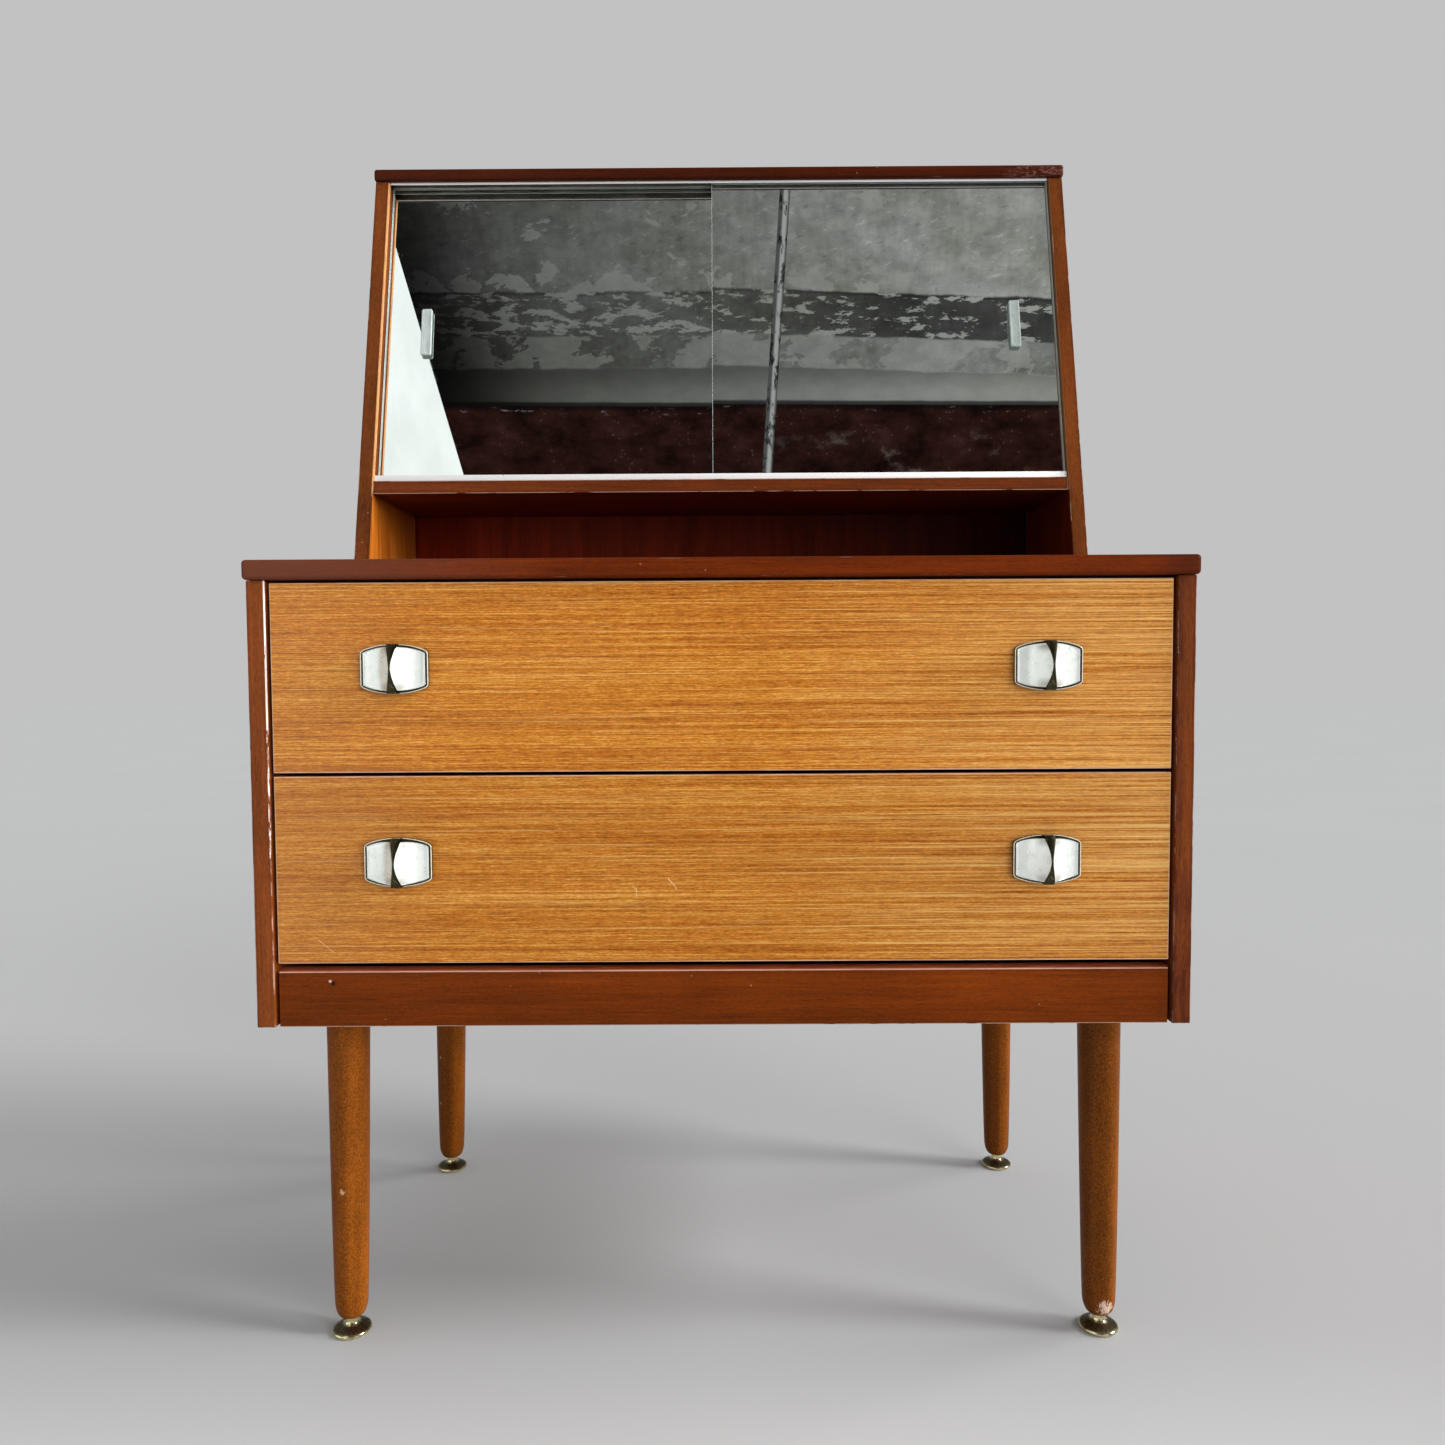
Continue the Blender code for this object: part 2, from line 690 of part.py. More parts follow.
side_outline = (
    (slant_y(FOOT), FOOT),
    (slant_y(HEAD), HEAD),
    (cabinet_back, HEAD),
    (cabinet_back, FOOT),
)
for side, name in ((-1, "left"), (1, "right")):
    x_low, x_high = sorted((side * INNER, side * HALF_WIDTH))
    cheek = finish(extrusion(side_outline, x_low, x_high), "cabinet_side_" + name, "case_wood")
    ease(cheek, EDGE_BOARD)

shelf_outline = (
    (slant_y(SHELF_LOW, EDGE_FINE), SHELF_LOW),
    (slant_y(SHELF_HIGH, EDGE_FINE), SHELF_HIGH),
    (PANEL_FRONT - GAP, SHELF_HIGH),
    (PANEL_FRONT - GAP, SHELF_LOW),
)
shelf = finish(extrusion(shelf_outline, -BETWEEN, BETWEEN), "cabinet_shelf", "case_wood")
ease(shelf, EDGE_FINE)

board(
    "cabinet_back_panel",
    (-BETWEEN, PANEL_FRONT, FOOT),
    (BETWEEN, cabinet_back, HEAD),
    "panel_board",
)


def track_outline(base_z, floor_z, tip_z):
    """Section of a double track: three leaning walls on a level base, with two grooves between them."""
    outline = [(slant_y(base_z, TRACK_SETBACK), base_z)]
    for wall in range(3):
        depth = TRACK_SETBACK + wall * TRACK_PITCH
        outline.append((slant_y(tip_z, depth), tip_z))
        outline.append((slant_y(tip_z, depth + TRACK_WALL), tip_z))
        if wall < 2:
            outline.append((slant_y(floor_z, depth + TRACK_WALL), floor_z))
            outline.append((slant_y(floor_z, depth + TRACK_PITCH), floor_z))
        else:
            outline.append((slant_y(base_z, depth + TRACK_WALL), base_z))
    return outline


track_low = SHELF_HIGH + GAP
track_head = CAP_UNDERSIDE + TRACK_TOP_RECESS - GAP
low_outline = track_outline(track_low, TRACK_FLOOR, track_low + TRACK_LOW_HEIGHT)
top_outline = track_outline(track_head, track_head - TRACK_BASE, CAP_UNDERSIDE - TRACK_TOP_LIP)
finish(extrusion(low_outline, -BETWEEN, BETWEEN), "track_bottom", "track_aluminium")
finish(extrusion(top_outline, -BETWEEN, BETWEEN), "track_top", "track_aluminium")

cap = board(
    "cabinet_cap",
    (-CAP_WIDTH / 2, CASE_FRONT + SLANT_HEAD - CAP_OVERHANG, CAP_UNDERSIDE),
    (CAP_WIDTH / 2, cabinet_back, CAP_UNDERSIDE + CAP_THICKNESS),
    "case_wood",
    EDGE_TOP,
    segments=3,
)
recess_low = CAP_UNDERSIDE - 0.01
recess_high = CAP_UNDERSIDE + TRACK_TOP_RECESS
recess_front = TRACK_SETBACK - GAP
recess_back = TRACK_SETBACK + 2 * TRACK_PITCH + TRACK_WALL + GAP
recess_outline = (
    (slant_y(recess_low, recess_front), recess_low),
    (slant_y(recess_high, recess_front), recess_high),
    (slant_y(recess_high, recess_back), recess_high),
    (slant_y(recess_low, recess_back), recess_low),
)
cut(cap, as_cutter(extrusion(recess_outline, -INNER, INNER), "track_recess"))

# ---------------------------------------------------------------- mirror doors


def leaning(name, middle, size, material_name, edge):
    """A thin box that leans back with the cabinet's front."""
    x, z, depth = middle
    bpy.ops.mesh.primitive_cube_add(size=1.0)
    obj = bpy.context.object
    obj.scale = size
    bpy.ops.object.transform_apply(location=False, rotation=False, scale=True)
    obj.location = (x, slant_y(z, depth), z)
    obj.rotation_euler = (-SLANT, 0.0, 0.0)
    finish(obj, name, material_name)
    ease(obj, edge, segments=1)
    return obj


mirror_low = TRACK_FLOOR + MIRROR_LIFT
mirror_length = (MIRROR_TOP - mirror_low) / math.cos(SLANT) - MIRROR_THICKNESS * math.tan(SLANT)
mirror_x = INNER - MIRROR_SIDE_GAP - MIRROR_WIDTH / 2
mirror_z = (mirror_low + MIRROR_TOP) / 2
for side, name, channel in ((1, "right", 0), (-1, "left", 1)):
    channel_middle = TRACK_SETBACK + TRACK_WALL + TRACK_GROOVE / 2 + channel * TRACK_PITCH
    pane = leaning(
        "mirror_" + name,
        (side * mirror_x, mirror_z, channel_middle),
        (MIRROR_WIDTH, MIRROR_THICKNESS, mirror_length),
        "mirror",
        0.0004,
    )
    pull_depth = channel_middle - MIRROR_THICKNESS / 2 - GAP - PULL_THICKNESS / 2
    pull = leaning(
        "pull_" + name,
        (side * PULL_X, PULL_Z[name], pull_depth),
        (PULL_WIDTH, PULL_THICKNESS, PULL_LENGTH),
        "frosted_pull",
        0.0005,
    )
    hang(empty("mirror_door_" + name, pane.location), (pane, pull))
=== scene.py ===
"""Looks of the vanity table with mirror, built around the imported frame.

Boards keep their CAD meshes and get veneer, stain and wear from node materials. The turned, cast and glazed
pieces (legs, glides, handles, screws, tracks, mirror panes and pulls) are replaced by finer ones.
Metres, +Z up, front towards -Y, +X to the right as seen from the front.
"""

import math
import random

import bmesh
import bpy
from mathutils import Matrix, Vector


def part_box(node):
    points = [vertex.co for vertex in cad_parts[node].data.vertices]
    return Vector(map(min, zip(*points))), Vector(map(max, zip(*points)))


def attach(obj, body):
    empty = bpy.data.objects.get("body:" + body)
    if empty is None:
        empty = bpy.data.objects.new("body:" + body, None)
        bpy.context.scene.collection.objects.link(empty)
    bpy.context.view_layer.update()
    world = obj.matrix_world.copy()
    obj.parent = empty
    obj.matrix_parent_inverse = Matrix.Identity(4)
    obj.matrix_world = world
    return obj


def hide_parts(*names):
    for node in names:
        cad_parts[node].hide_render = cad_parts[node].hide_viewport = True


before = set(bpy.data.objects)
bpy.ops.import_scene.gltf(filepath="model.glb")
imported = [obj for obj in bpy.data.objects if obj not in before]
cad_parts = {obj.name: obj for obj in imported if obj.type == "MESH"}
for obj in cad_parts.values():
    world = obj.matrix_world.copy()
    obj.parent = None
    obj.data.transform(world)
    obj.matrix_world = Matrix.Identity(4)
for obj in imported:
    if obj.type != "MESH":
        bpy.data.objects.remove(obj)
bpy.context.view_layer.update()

SIDES = ((-1, "left"), (1, "right"))
CORNERS = [(side, end + "_" + name) for end in ("front", "rear") for side, name in SIDES]
DRAWERS = ("lower", "upper")

# -------- places read from the frame


def centre(node):
    """Middle of a CAD node's box."""
    low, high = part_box(node)
    return (low + high) / 2


def around(*nodes):
    """Box around several CAD nodes."""
    boxes = [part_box(node) for node in nodes]
    low = Vector(min(box[0][axis] for box in boxes) for axis in range(3))
    high = Vector(max(box[1][axis] for box in boxes) for axis in range(3))
    return low, high


CASE = around("case_side_left", "case_side_right")
CABINET = around("cabinet_side_left", "cabinet_side_right")


def lean_of(node):
    """Slope dy/dz of the slanted front of an extruded cabinet side, from its own corners."""
    points = [vertex.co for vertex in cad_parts[node].data.vertices]
    low = min(point.z for point in points)
    high = max(point.z for point in points)
    foot = min(point.y for point in points if point.z < low + 0.003)
    head = min(point.y for point in points if point.z > high - 0.003)
    return (head - foot) / (high - low)


LEAN = lean_of("cabinet_side_left")
SLANT = math.atan(LEAN)

# -------- node materials


class Value:
    """A node's output. Arithmetic on it adds Math nodes, or Vector Math nodes where either side is a vector."""

    def __init__(self, shader, socket, is_vector=False):
        self.shader = shader
        self.socket = socket
        self.is_vector = is_vector

    def combined(self, operation, *sides):
        vectors = any(isinstance(side, tuple) or getattr(side, "is_vector", False) for side in sides)
        return (self.shader.vector if vectors else self.shader.math)(operation, *sides)

    def __add__(self, other):
        return self.combined("ADD", self, other)

    def __radd__(self, other):
        return self.combined("ADD", other, self)

    def __sub__(self, other):
        return self.combined("SUBTRACT", self, other)

    def __rsub__(self, other):
        return self.combined("SUBTRACT", other, self)

    def __mul__(self, other):
        return self.combined("MULTIPLY", self, other)

    def __rmul__(self, other):
        return self.combined("MULTIPLY", other, self)

    def __abs__(self):
        return self.shader.math("ABSOLUTE", self)

    def spread(self, low, high, to_low=0.0, to_high=1.0, smooth=True):
        """Maps low..high to to_low..to_high, clamped."""
        settings = {"interpolation_type": "SMOOTHSTEP" if smooth else "LINEAR"}
        return self.shader.add("MapRange", (self, low, high, to_low, to_high), **settings)


class Shader:
    """A node material put together from short calls. An input is a number, a vector, a colour or a Value."""

    def __init__(self, name):
        self.material = bpy.data.materials.new(name)
        self.material.use_nodes = True
        self.tree = self.material.node_tree
        self.surface = self.tree.nodes["Principled BSDF"]
        self.place = Value(self, self.tree.nodes.new("ShaderNodeTexCoord").outputs["Object"], True)

    def feed(self, socket, value):
        """Links an output to a socket, or sets the socket to a number, vector or colour."""
        if isinstance(value, Value):
            self.tree.links.new(value.socket, socket)
        elif isinstance(value, tuple) and len(value) == 3 and len(socket.default_value) == 4:
            socket.default_value = (*value, 1.0)
        else:
            socket.default_value = value

    def set(self, **sockets):
        """Sets or links the surface's sockets; an underscore in a name stands for a space."""
        for name, value in sockets.items():
            self.feed(self.surface.inputs[name.replace("_", " ")], value)

    def add(self, kind, inputs, output=0, is_vector=False, **settings):
        """Adds a node. Its inputs are given in order, or by name or number in a dictionary."""
        node = self.tree.nodes.new("ShaderNode" + kind)
        for name, value in settings.items():
            setattr(node, name, value)
        named = inputs.items() if isinstance(inputs, dict) else enumerate(inputs)
        for name, value in named:
            self.feed(node.inputs[name], value)
        return Value(self, node.outputs[output], is_vector)

    def math(self, operation, *values, clamp=False):
        return self.add("Math", values, operation=operation, use_clamp=clamp)

    def vector(self, operation, *values):
        if operation == "LENGTH":
            return self.add("VectorMath", values, "Value", operation=operation)
        return self.add("VectorMath", values, is_vector=True, operation=operation)

    def split(self, vector):
        node = self.add("SeparateXYZ", (vector,)).socket.node
        return tuple(Value(self, output) for output in node.outputs)

    def axes(self):
        """X, Y and Z of the point, in the object's own space."""
        return self.split(self.place)

    def join(self, x, y, z):
        return self.add("CombineXYZ", (x, y, z), is_vector=True)

    def grey(self, value):
        """A vector with the same value three times."""
        return self.join(value, value, value)

    def noise(self, vector, scale=1.0, detail=2.0, roughness=0.5, distortion=0.0):
        inputs = {"Vector": vector, "Scale": scale, "Detail": detail, "Roughness": roughness}
        return self.add("TexNoise", {**inputs, "Distortion": distortion}, "Fac")

    def drawn_out(self, grain, along, across, seed, at=None):
        """Coordinates drawn out along the grain axis, for textures with so many features per metre."""
        scale = tuple(along if axis == grain else across for axis in "xyz")
        shift = random.Random(seed).uniform(5.0, 60.0)
        return ((at or self.place) + (shift, shift * 0.37, shift * 0.61)) * scale

    def streaks(self, grain, along, across, seed, *look, at=None):
        """Noise drawn out along the grain axis. look is its detail, roughness and distortion."""
        return self.noise(self.drawn_out(grain, along, across, seed, at), 1.0, *look)

    def cells(self, vector, scale=1.0):
        """Distance to the nearest of many scattered points."""
        return self.add("TexVoronoi", {"Vector": vector, "Scale": scale}, "Distance", feature="F1")

    def ramp(self, factor, *stops):
        """Colours between (position, colour) stops."""
        value = self.add("ValToRGB", (), is_vector=True)
        elements = value.socket.node.color_ramp.elements
        while len(elements) < len(stops):
            elements.new(1.0)
        for element, (position, colour) in zip(elements, stops):
            element.position = position
            element.color = (*colour, 1.0)
        self.feed(value.socket.node.inputs[0], factor)
        return value

    def mix(self, factor, first, second):
        return self.add("Mix", {0: factor, 6: first, 7: second}, 2, True, data_type="RGBA", blend_type="MIX")

    def coat(self, mask, tint):
        """Lays another colour over the material's own, where the mask is 1."""
        self.colour = self.mix(mask, self.colour, tint)

    def reach(self, spot):
        """Distance from a spot."""
        return self.vector("LENGTH", self.place - tuple(spot))

    def bump(self, height, strength, distance):
        bump = self.add("Bump", {"Strength": strength, "Distance": distance, "Height": height})
        self.set(Normal=bump)

    def finished(self, bump=None, **sockets):
        """The material, once its colour, these sockets and its bump (height, strength, distance) are set."""
        self.set(Base_Color=self.colour, **sockets)
        if bump:
            self.bump(*bump)
        return self.material

    def edge_distance(self, low, high, lean=0.0):
        """Distance to the nearest edge of a box, for points on its faces. Its front may lean back by dy/dz."""
        point = self.place
        if lean:
            x, y, z = self.axes()
            point = self.join(x, y - (z - low.z) * lean, z)
        offset = self.vector("ABSOLUTE", point - tuple((low + high) / 2))
        x, y, z = self.split(tuple((high - low) / 2) - offset)
        smallest = self.math("MINIMUM", x, self.math("MINIMUM", y, z))
        largest = self.math("MAXIMUM", x, self.math("MAXIMUM", y, z))
        return x + (y + z) - smallest - largest

    def mark(self, start, end, width):
        """Mask of a short scratch on the front, from start to end in X and Z."""
        x, y, z = self.axes()
        along = Vector(end) - Vector(start)
        length = along.length
        along /= length
        dx = x - start[0]
        dz = z - start[1]
        run = dx * along.x + dz * along.y
        off = dx * along.y - dz * along.x
        past = self.math("MAXIMUM", self.math("MAXIMUM", run - length, run * -1.0), 0.0)
        ragged = self.noise(self.place, 900.0, 2.0) * (width * 1.2)
        return (self.math("MAXIMUM", abs(off), past) + ragged).spread(width * 1.2, width * 0.5)


def tones(middle, dark=0.45, light=1.65):
    """Dark, middle and light colours of one stained wood."""
    return tuple(scaled(middle, factor) for factor in (dark, 1.0, light))


def scaled(colour, factor):
    """The same colour, lighter or darker."""
    return tuple(factor * part for part in colour)


CASE_TONES = {
    "side": (0.215, 0.0510, 0.0092),
    "desk": (0.142, 0.0205, 0.0010),
    "cap": (0.060, 0.0095, 0.0018),
    "plinth": (0.155, 0.0275, 0.0010),
    "shelf": (0.158, 0.0325, 0.0060),
    "cheek": (0.178, 0.0430, 0.0070),
}
WORN_PALE = (0.62, 0.40, 0.31)


def case_wood(name, board, grain, box, seed, lean=0.0, wear=0.5, wear_width=0.0009):
    """Stained and lacquered veneer, with its grain along one axis and its edges rubbed pale."""
    shader = Shader(name)
    low, high = box
    drift = shader.noise(shader.place * (3.0, 3.0, 3.0), 1.0, 1.0)
    sway = (drift - 0.5) * 0.012
    wavy = shader.place + shader.grey(sway)
    bands = shader.streaks(grain, 1.6, 42.0, seed, 3.0, 0.55, at=wavy)
    fibres = shader.streaks(grain, 14.0, 520.0, seed + 1, 4.0, 0.65, at=wavy)
    flecks = shader.streaks(grain, 260.0, 1000.0, seed + 2, 3.0, 0.75)
    clouds = shader.streaks(grain, 9.0, 24.0, seed + 3, 2.0)
    pores = shader.streaks(grain, 90.0, 1500.0, seed + 4, 1.0, at=wavy)
    tone = bands * 0.32 + fibres * 0.32 + flecks * 0.36 + (clouds - 0.5) * 0.22
    dark, middle, light = tones(CASE_TONES[board])
    shader.colour = shader.ramp(tone, (0.33, dark), (0.50, middle), (0.67, light))
    pits = pores.spread(0.60, 0.74)
    shader.coat(pits * 0.45, scaled(dark, 0.35))

    distance = shader.edge_distance(low, high, lean)
    darkening = distance.spread(0.0, 0.0035, 0.35, 0.0)
    shader.coat(darkening, scaled(dark, 0.55))
    patches = shader.streaks(grain, 26.0, 60.0, seed + 5, 4.0, 0.7)
    rubbed = distance.spread(wear_width * 1.25, wear_width * 0.45)
    rubbed = rubbed * patches.spread(0.66 - 0.34 * wear, 0.74 - 0.30 * wear) * (0.25 + 0.7 * wear)
    shader.coat(rubbed, WORN_PALE)
    specks = shader.cells(shader.drawn_out(grain, 46.0, 52.0, seed + 6))
    dots = specks.spread(0.050, 0.022) * 0.75
    shader.coat(dots, (0.42, 0.19, 0.10))

    rough = 0.30 + fibres * 0.10 + clouds * 0.10 + rubbed * 0.25
    shader.set(Roughness=rough, Specular_IOR_Level=0.08)
    height = fibres * 0.6 - pits - rubbed * 1.5
    shader.bump(height, 0.35, 0.00012)
    return shader


def drawer_veneer(name, box, seed, marks=(), depth=1.0):
    """Reconstituted teak veneer: straight, very fine lines along X, some of them pale or dark."""
    shader = Shader(name)
    low, high = box
    x, y, z = shader.axes()
    slow = shader.noise(shader.place * (4.0, 1.0, 9.0), 1.0, 1.0) * 0.0016
    flow = shader.join(x, y, z + slow)
    bands = shader.streaks("x", 0.9, 55.0, seed, 2.0, 0.5, at=flow)
    lines = shader.streaks("x", 3.4, 700.0, seed + 1, 3.0, 0.75, at=flow)
    hairs = shader.streaks("x", 95.0, 1250.0, seed + 2, 3.0, 0.75, at=flow)
    grain = shader.streaks("x", 300.0, 900.0, seed + 3, 2.0, 0.6)
    tone = bands * 0.10 + lines * 0.36 + hairs * 0.36 + grain * 0.18
    shader.colour = shader.ramp(
        tone,
        (0.39, (0.280, 0.060, 0.0030)),
        (0.47, (0.510, 0.155, 0.0100)),
        (0.53, (0.670, 0.248, 0.0230)),
        (0.62, (0.900, 0.470, 0.1050)),
    )
    pale = shader.streaks("x", 2.4, 620.0, seed + 4, 3.0, 0.8, at=flow)
    breaks = shader.streaks("x", 13.0, 800.0, seed + 5, 2.0, at=flow)
    pale = pale.spread(0.55, 0.64) * breaks.spread(0.32, 0.58)
    # painted sheen: the pale lines show more strongly towards the right end
    fade = x.spread(low.x, high.x, 0.30, 0.95, smooth=False)
    shader.coat(pale * fade, (0.98, 0.62, 0.20))
    dusk = shader.streaks("x", 2.2, 680.0, seed + 6, 3.0, 0.8, at=flow)
    dusk = dusk.spread(0.57, 0.66) * 0.46
    shader.coat(dusk, (0.245, 0.062, 0.008))
    tint = shader.noise(shader.place * (5.0, 5.0, 8.0), 1.0, 2.0)
    tint = tint.spread(0.52, 0.75) * 0.14
    shader.coat(tint, (0.42, 0.140, 0.030))

    # painted sheen: lighter, yellower lines towards the right end
    painted_sheen = x.spread(0.05, high.x, 0.0, 0.42, smooth=False)
    shader.coat(painted_sheen * lines.spread(0.38, 0.60), (0.92, 0.56, 0.20))
    # painted reflection: a pale pinkish haze at the left end
    painted_reflection = x.spread(low.x + 0.16, low.x, 0.0, 0.10)
    shader.coat(painted_reflection, (0.75, 0.40, 0.22))
    # painted shade: the whole veneer is scaled by this drawer's factor
    shader.colour = shader.colour * (depth, depth, depth)

    distance = shader.edge_distance(low, high)
    patches = shader.streaks("x", 22.0, 40.0, seed + 7, 3.0, 0.7)
    rubbed = distance.spread(0.0011, 0.0004) * patches.spread(0.30, 0.62, 0.25, 0.85)
    shader.coat(rubbed, (0.80, 0.56, 0.42))
    for start, end, width in marks:
        scratch = shader.mark(start, end, width)
        shader.coat(scratch * 0.92, (0.95, 0.70, 0.42))
    rough = 0.36 + hairs * 0.16
    return shader.finished(
        Roughness=rough, Specular_IOR_Level=0.18,
        bump=(lines * 0.5 + hairs * 0.7, 0.30, 0.00012),
    )


def plain_wood(name, tones, grain, seed, rough=0.62, box=None, painted_light_run=None, rear=None):
    """Planed, unlacquered wood for the insides: growth bands, fine fibres and short rays. Its tone can be
    scaled from the left end to the right as painted light and shade, and rear is the two colours of an
    unstained rear face."""
    shader = Shader(name)
    drift = shader.noise(shader.place * (5.0, 5.0, 5.0), 1.0, 1.0)
    sway = (drift - 0.5) * 0.02
    wavy = shader.place + shader.grey(sway)
    bands = shader.streaks(grain, 1.8, 60.0, seed, 3.0, 0.6, at=wavy)
    fibres = shader.streaks(grain, 20.0, 700.0, seed + 1, 3.0, 0.7, at=wavy)
    rays = shader.streaks(grain, 160.0, 800.0, seed + 2, 1.0)
    tone = bands * 0.55 + fibres * 0.45
    dark, light = tones
    shader.colour = shader.ramp(tone, (0.36, dark), (0.64, light))
    flecks = rays.spread(0.60, 0.72) * 0.35
    shader.coat(flecks, scaled(dark, 0.55))
    if box:
        distance = shader.edge_distance(*box)
        shader.coat(distance.spread(0.0, 0.005, 0.4, 0.0), scaled(dark, 0.5))
    # painted light and shade: the tone is scaled from the left end to the right
    if painted_light_run:
        x, y, z = shader.axes()
        painted_light_factor = x.spread(box[0].x, box[1].x, *painted_light_run)
        shader.colour = shader.colour * shader.grey(painted_light_factor)
    if rear:
        x, y, z = shader.axes()
        behind = y.spread(box[1].y - 0.0014, box[1].y - 0.0008)
        shader.coat(behind, shader.ramp(tone, (0.36, rear[0]), (0.64, rear[1])))
    return shader.finished(
        Specular_IOR_Level=0.10,
        Roughness=rough + fibres * 0.15,
        bump=(fibres, 0.3, 0.00015),
    )


def leg_wood(name, seed, chips=(), painted_shade_factor=1.0):
    """Lacquered beech: short dark rays in a warm brown ground, and a few knocks in the lacquer."""
    shader = Shader(name)
    bands = shader.streaks("z", 5.0, 90.0, seed, 2.0)
    clouds = shader.streaks("z", 14.0, 30.0, seed + 1, 2.0)
    grain = shader.streaks("z", 560.0, 1050.0, seed + 2, 3.0, 0.8)
    rays = shader.streaks("z", 300.0, 1300.0, seed + 3, 1.0)
    tone = grain * 0.70 + bands * 0.18 + clouds * 0.12
    # painted shade: the wood's colours are scaled by this leg's factor
    dark, middle, light = tones(tuple(part * painted_shade_factor for part in (0.330, 0.090, 0.0070)), 0.42, 1.85)
    shader.colour = shader.ramp(tone, (0.38, dark), (0.50, middle), (0.62, light))
    flecks = rays.spread(0.58, 0.72) * 0.55
    shader.coat(flecks, (0.085, 0.022, 0.006))
    for spot, radius, tint in chips:
        reach = shader.reach(spot)
        torn = shader.streaks("z", 200.0, 950.0, seed + 5, 3.0, 0.7)
        edge = reach + (torn - 0.5) * (radius * 5.0)
        shader.coat(edge.spread(radius, radius * 0.78), tint)
    rough = 0.30 + grain * 0.18
    return shader.finished(Roughness=rough, Specular_IOR_Level=0.07, bump=(grain - flecks, 0.22, 0.0001))


def brass(name, bright, dull, tarnished, seed):
    """Plating that is tarnished over much of its face."""
    shader = Shader(name)
    brushed = shader.streaks("z", 500.0, 1800.0, seed, 3.0, 0.7)
    stain = shader.noise(shader.place, 420.0, 4.0, 0.65)
    spots = shader.noise(shader.place, 1300.0, 2.0, 0.6)
    tarnish = stain * 0.7 + brushed * 0.3
    tarnish = tarnish.spread(0.72 - 0.5 * tarnished, 0.86 - 0.5 * tarnished)
    shader.colour = shader.mix(tarnish, bright, dull)
    shader.coat(spots.spread(0.62, 0.72) * 0.6, (0.05, 0.038, 0.02))
    rough = 0.20 + tarnish * 0.22
    return shader.finished(Metallic=1.0, Roughness=rough, bump=(brushed + stain, 0.18, 0.00008))


def bright_metal(name, colour, grain, seed, metallic=0.8, rough=0.34, streak=0.08, dirt=0.25):
    """Aluminium or plated steel: drawn lines along one axis, small dark pits and a film of dirt."""
    shader = Shader(name)
    drawn = shader.streaks(grain, 6.0, 2200.0, seed, 3.0, 0.7)
    film = shader.streaks(grain, 60.0, 120.0, seed + 1, 4.0, 0.65)
    pits = shader.streaks(grain, 700.0, 900.0, seed + 2, 2.0, 0.6)
    tint = drawn.spread(0.3, 0.7, 1.0 - streak, 1.0, smooth=False)
    shader.colour = colour * shader.grey(tint)
    shader.coat(film.spread(0.52, 0.72) * dirt, (0.30, 0.28, 0.24))
    shader.coat(pits.spread(0.68, 0.76) * 0.7, (0.10, 0.09, 0.07))
    return shader.finished(Metallic=metallic, Roughness=rough + film * 0.12, bump=(drawn - pits, 0.12, 0.00006))


def silvered_glass(name, seed):
    """The silvering behind the glass: almost perfect, with dust and a few wiped streaks on the pane."""
    shader = Shader(name)
    dust = shader.noise(shader.place, 160.0, 5.0, 0.75)
    wiped = shader.streaks("x", 9.0, 34.0, seed, 3.0, 0.6)
    specks = shader.cells(shader.place, 150.0)
    film = wiped.spread(0.45, 0.75) * dust.spread(0.40, 0.70, 0.3, 1.0)
    grit = specks.spread(0.07, 0.03) * 0.5
    shader.colour = shader.mix(film * 0.12, (0.86, 0.89, 0.88), (0.62, 0.64, 0.62))
    shader.coat(grit, (0.55, 0.56, 0.54))
    return shader.finished(Metallic=1.0, Roughness=0.006 + film * 0.03)


def ground_glass(name, colour, seed, rough=0.42):
    """Ground or frosted glass, with a fine tooth and finger marks."""
    shader = Shader(name)
    tooth = shader.noise(shader.place, 2600.0, 2.0, 0.6)
    marks = shader.streaks("z", 60.0, 220.0, seed, 3.0, 0.6)
    dull = scaled(colour, 0.62)
    shader.colour = shader.mix(marks.spread(0.35, 0.75, 0.0, 0.65), colour, dull)
    shader.coat(tooth.spread(0.55, 0.75, 0.0, 0.35), (0.93, 0.96, 0.95))
    return shader.finished(Specular_IOR_Level=0.5, Roughness=rough + tooth * 0.15, bump=(tooth, 0.25, 0.00006))


# -------- meshes


def placed(name, data):
    """A new object in the scene."""
    obj = bpy.data.objects.new(name, data)
    bpy.context.scene.collection.objects.link(obj)
    return obj


def piece(name, mesh, body, node, material, location=(0, 0, 0), rotation=None, replace=True):
    """Puts a finished mesh in the scene, riding on a body and standing for a CAD node."""
    obj = placed(name, mesh)
    obj.location = location
    if rotation:
        obj.rotation_euler = rotation
    mesh.materials.clear()
    mesh.materials.append(material)
    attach(obj, body)
    if replace:
        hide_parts(node)
    return obj


def smooth(mesh, angle=35.0):
    """Shades a mesh smooth, except across sharp edges."""
    mesh.shade_smooth()
    mesh.set_sharp_from_angle(angle=math.radians(angle))
    return mesh


def made(name, mesh, angle=35.0):
    """The smooth shaded mesh of a finished bmesh."""
    data = bpy.data.meshes.new(name)
    mesh.to_mesh(data)
    mesh.free()
    return smooth(data, angle)


def with_modifiers(obj):
    """The mesh that an object's modifiers make of it; the object itself goes."""
    bpy.context.view_layer.update()
    mesh = bpy.data.meshes.new_from_object(obj.evaluated_get(bpy.context.evaluated_depsgraph_get()))
    bpy.data.objects.remove(obj, do_unlink=True)
    return mesh


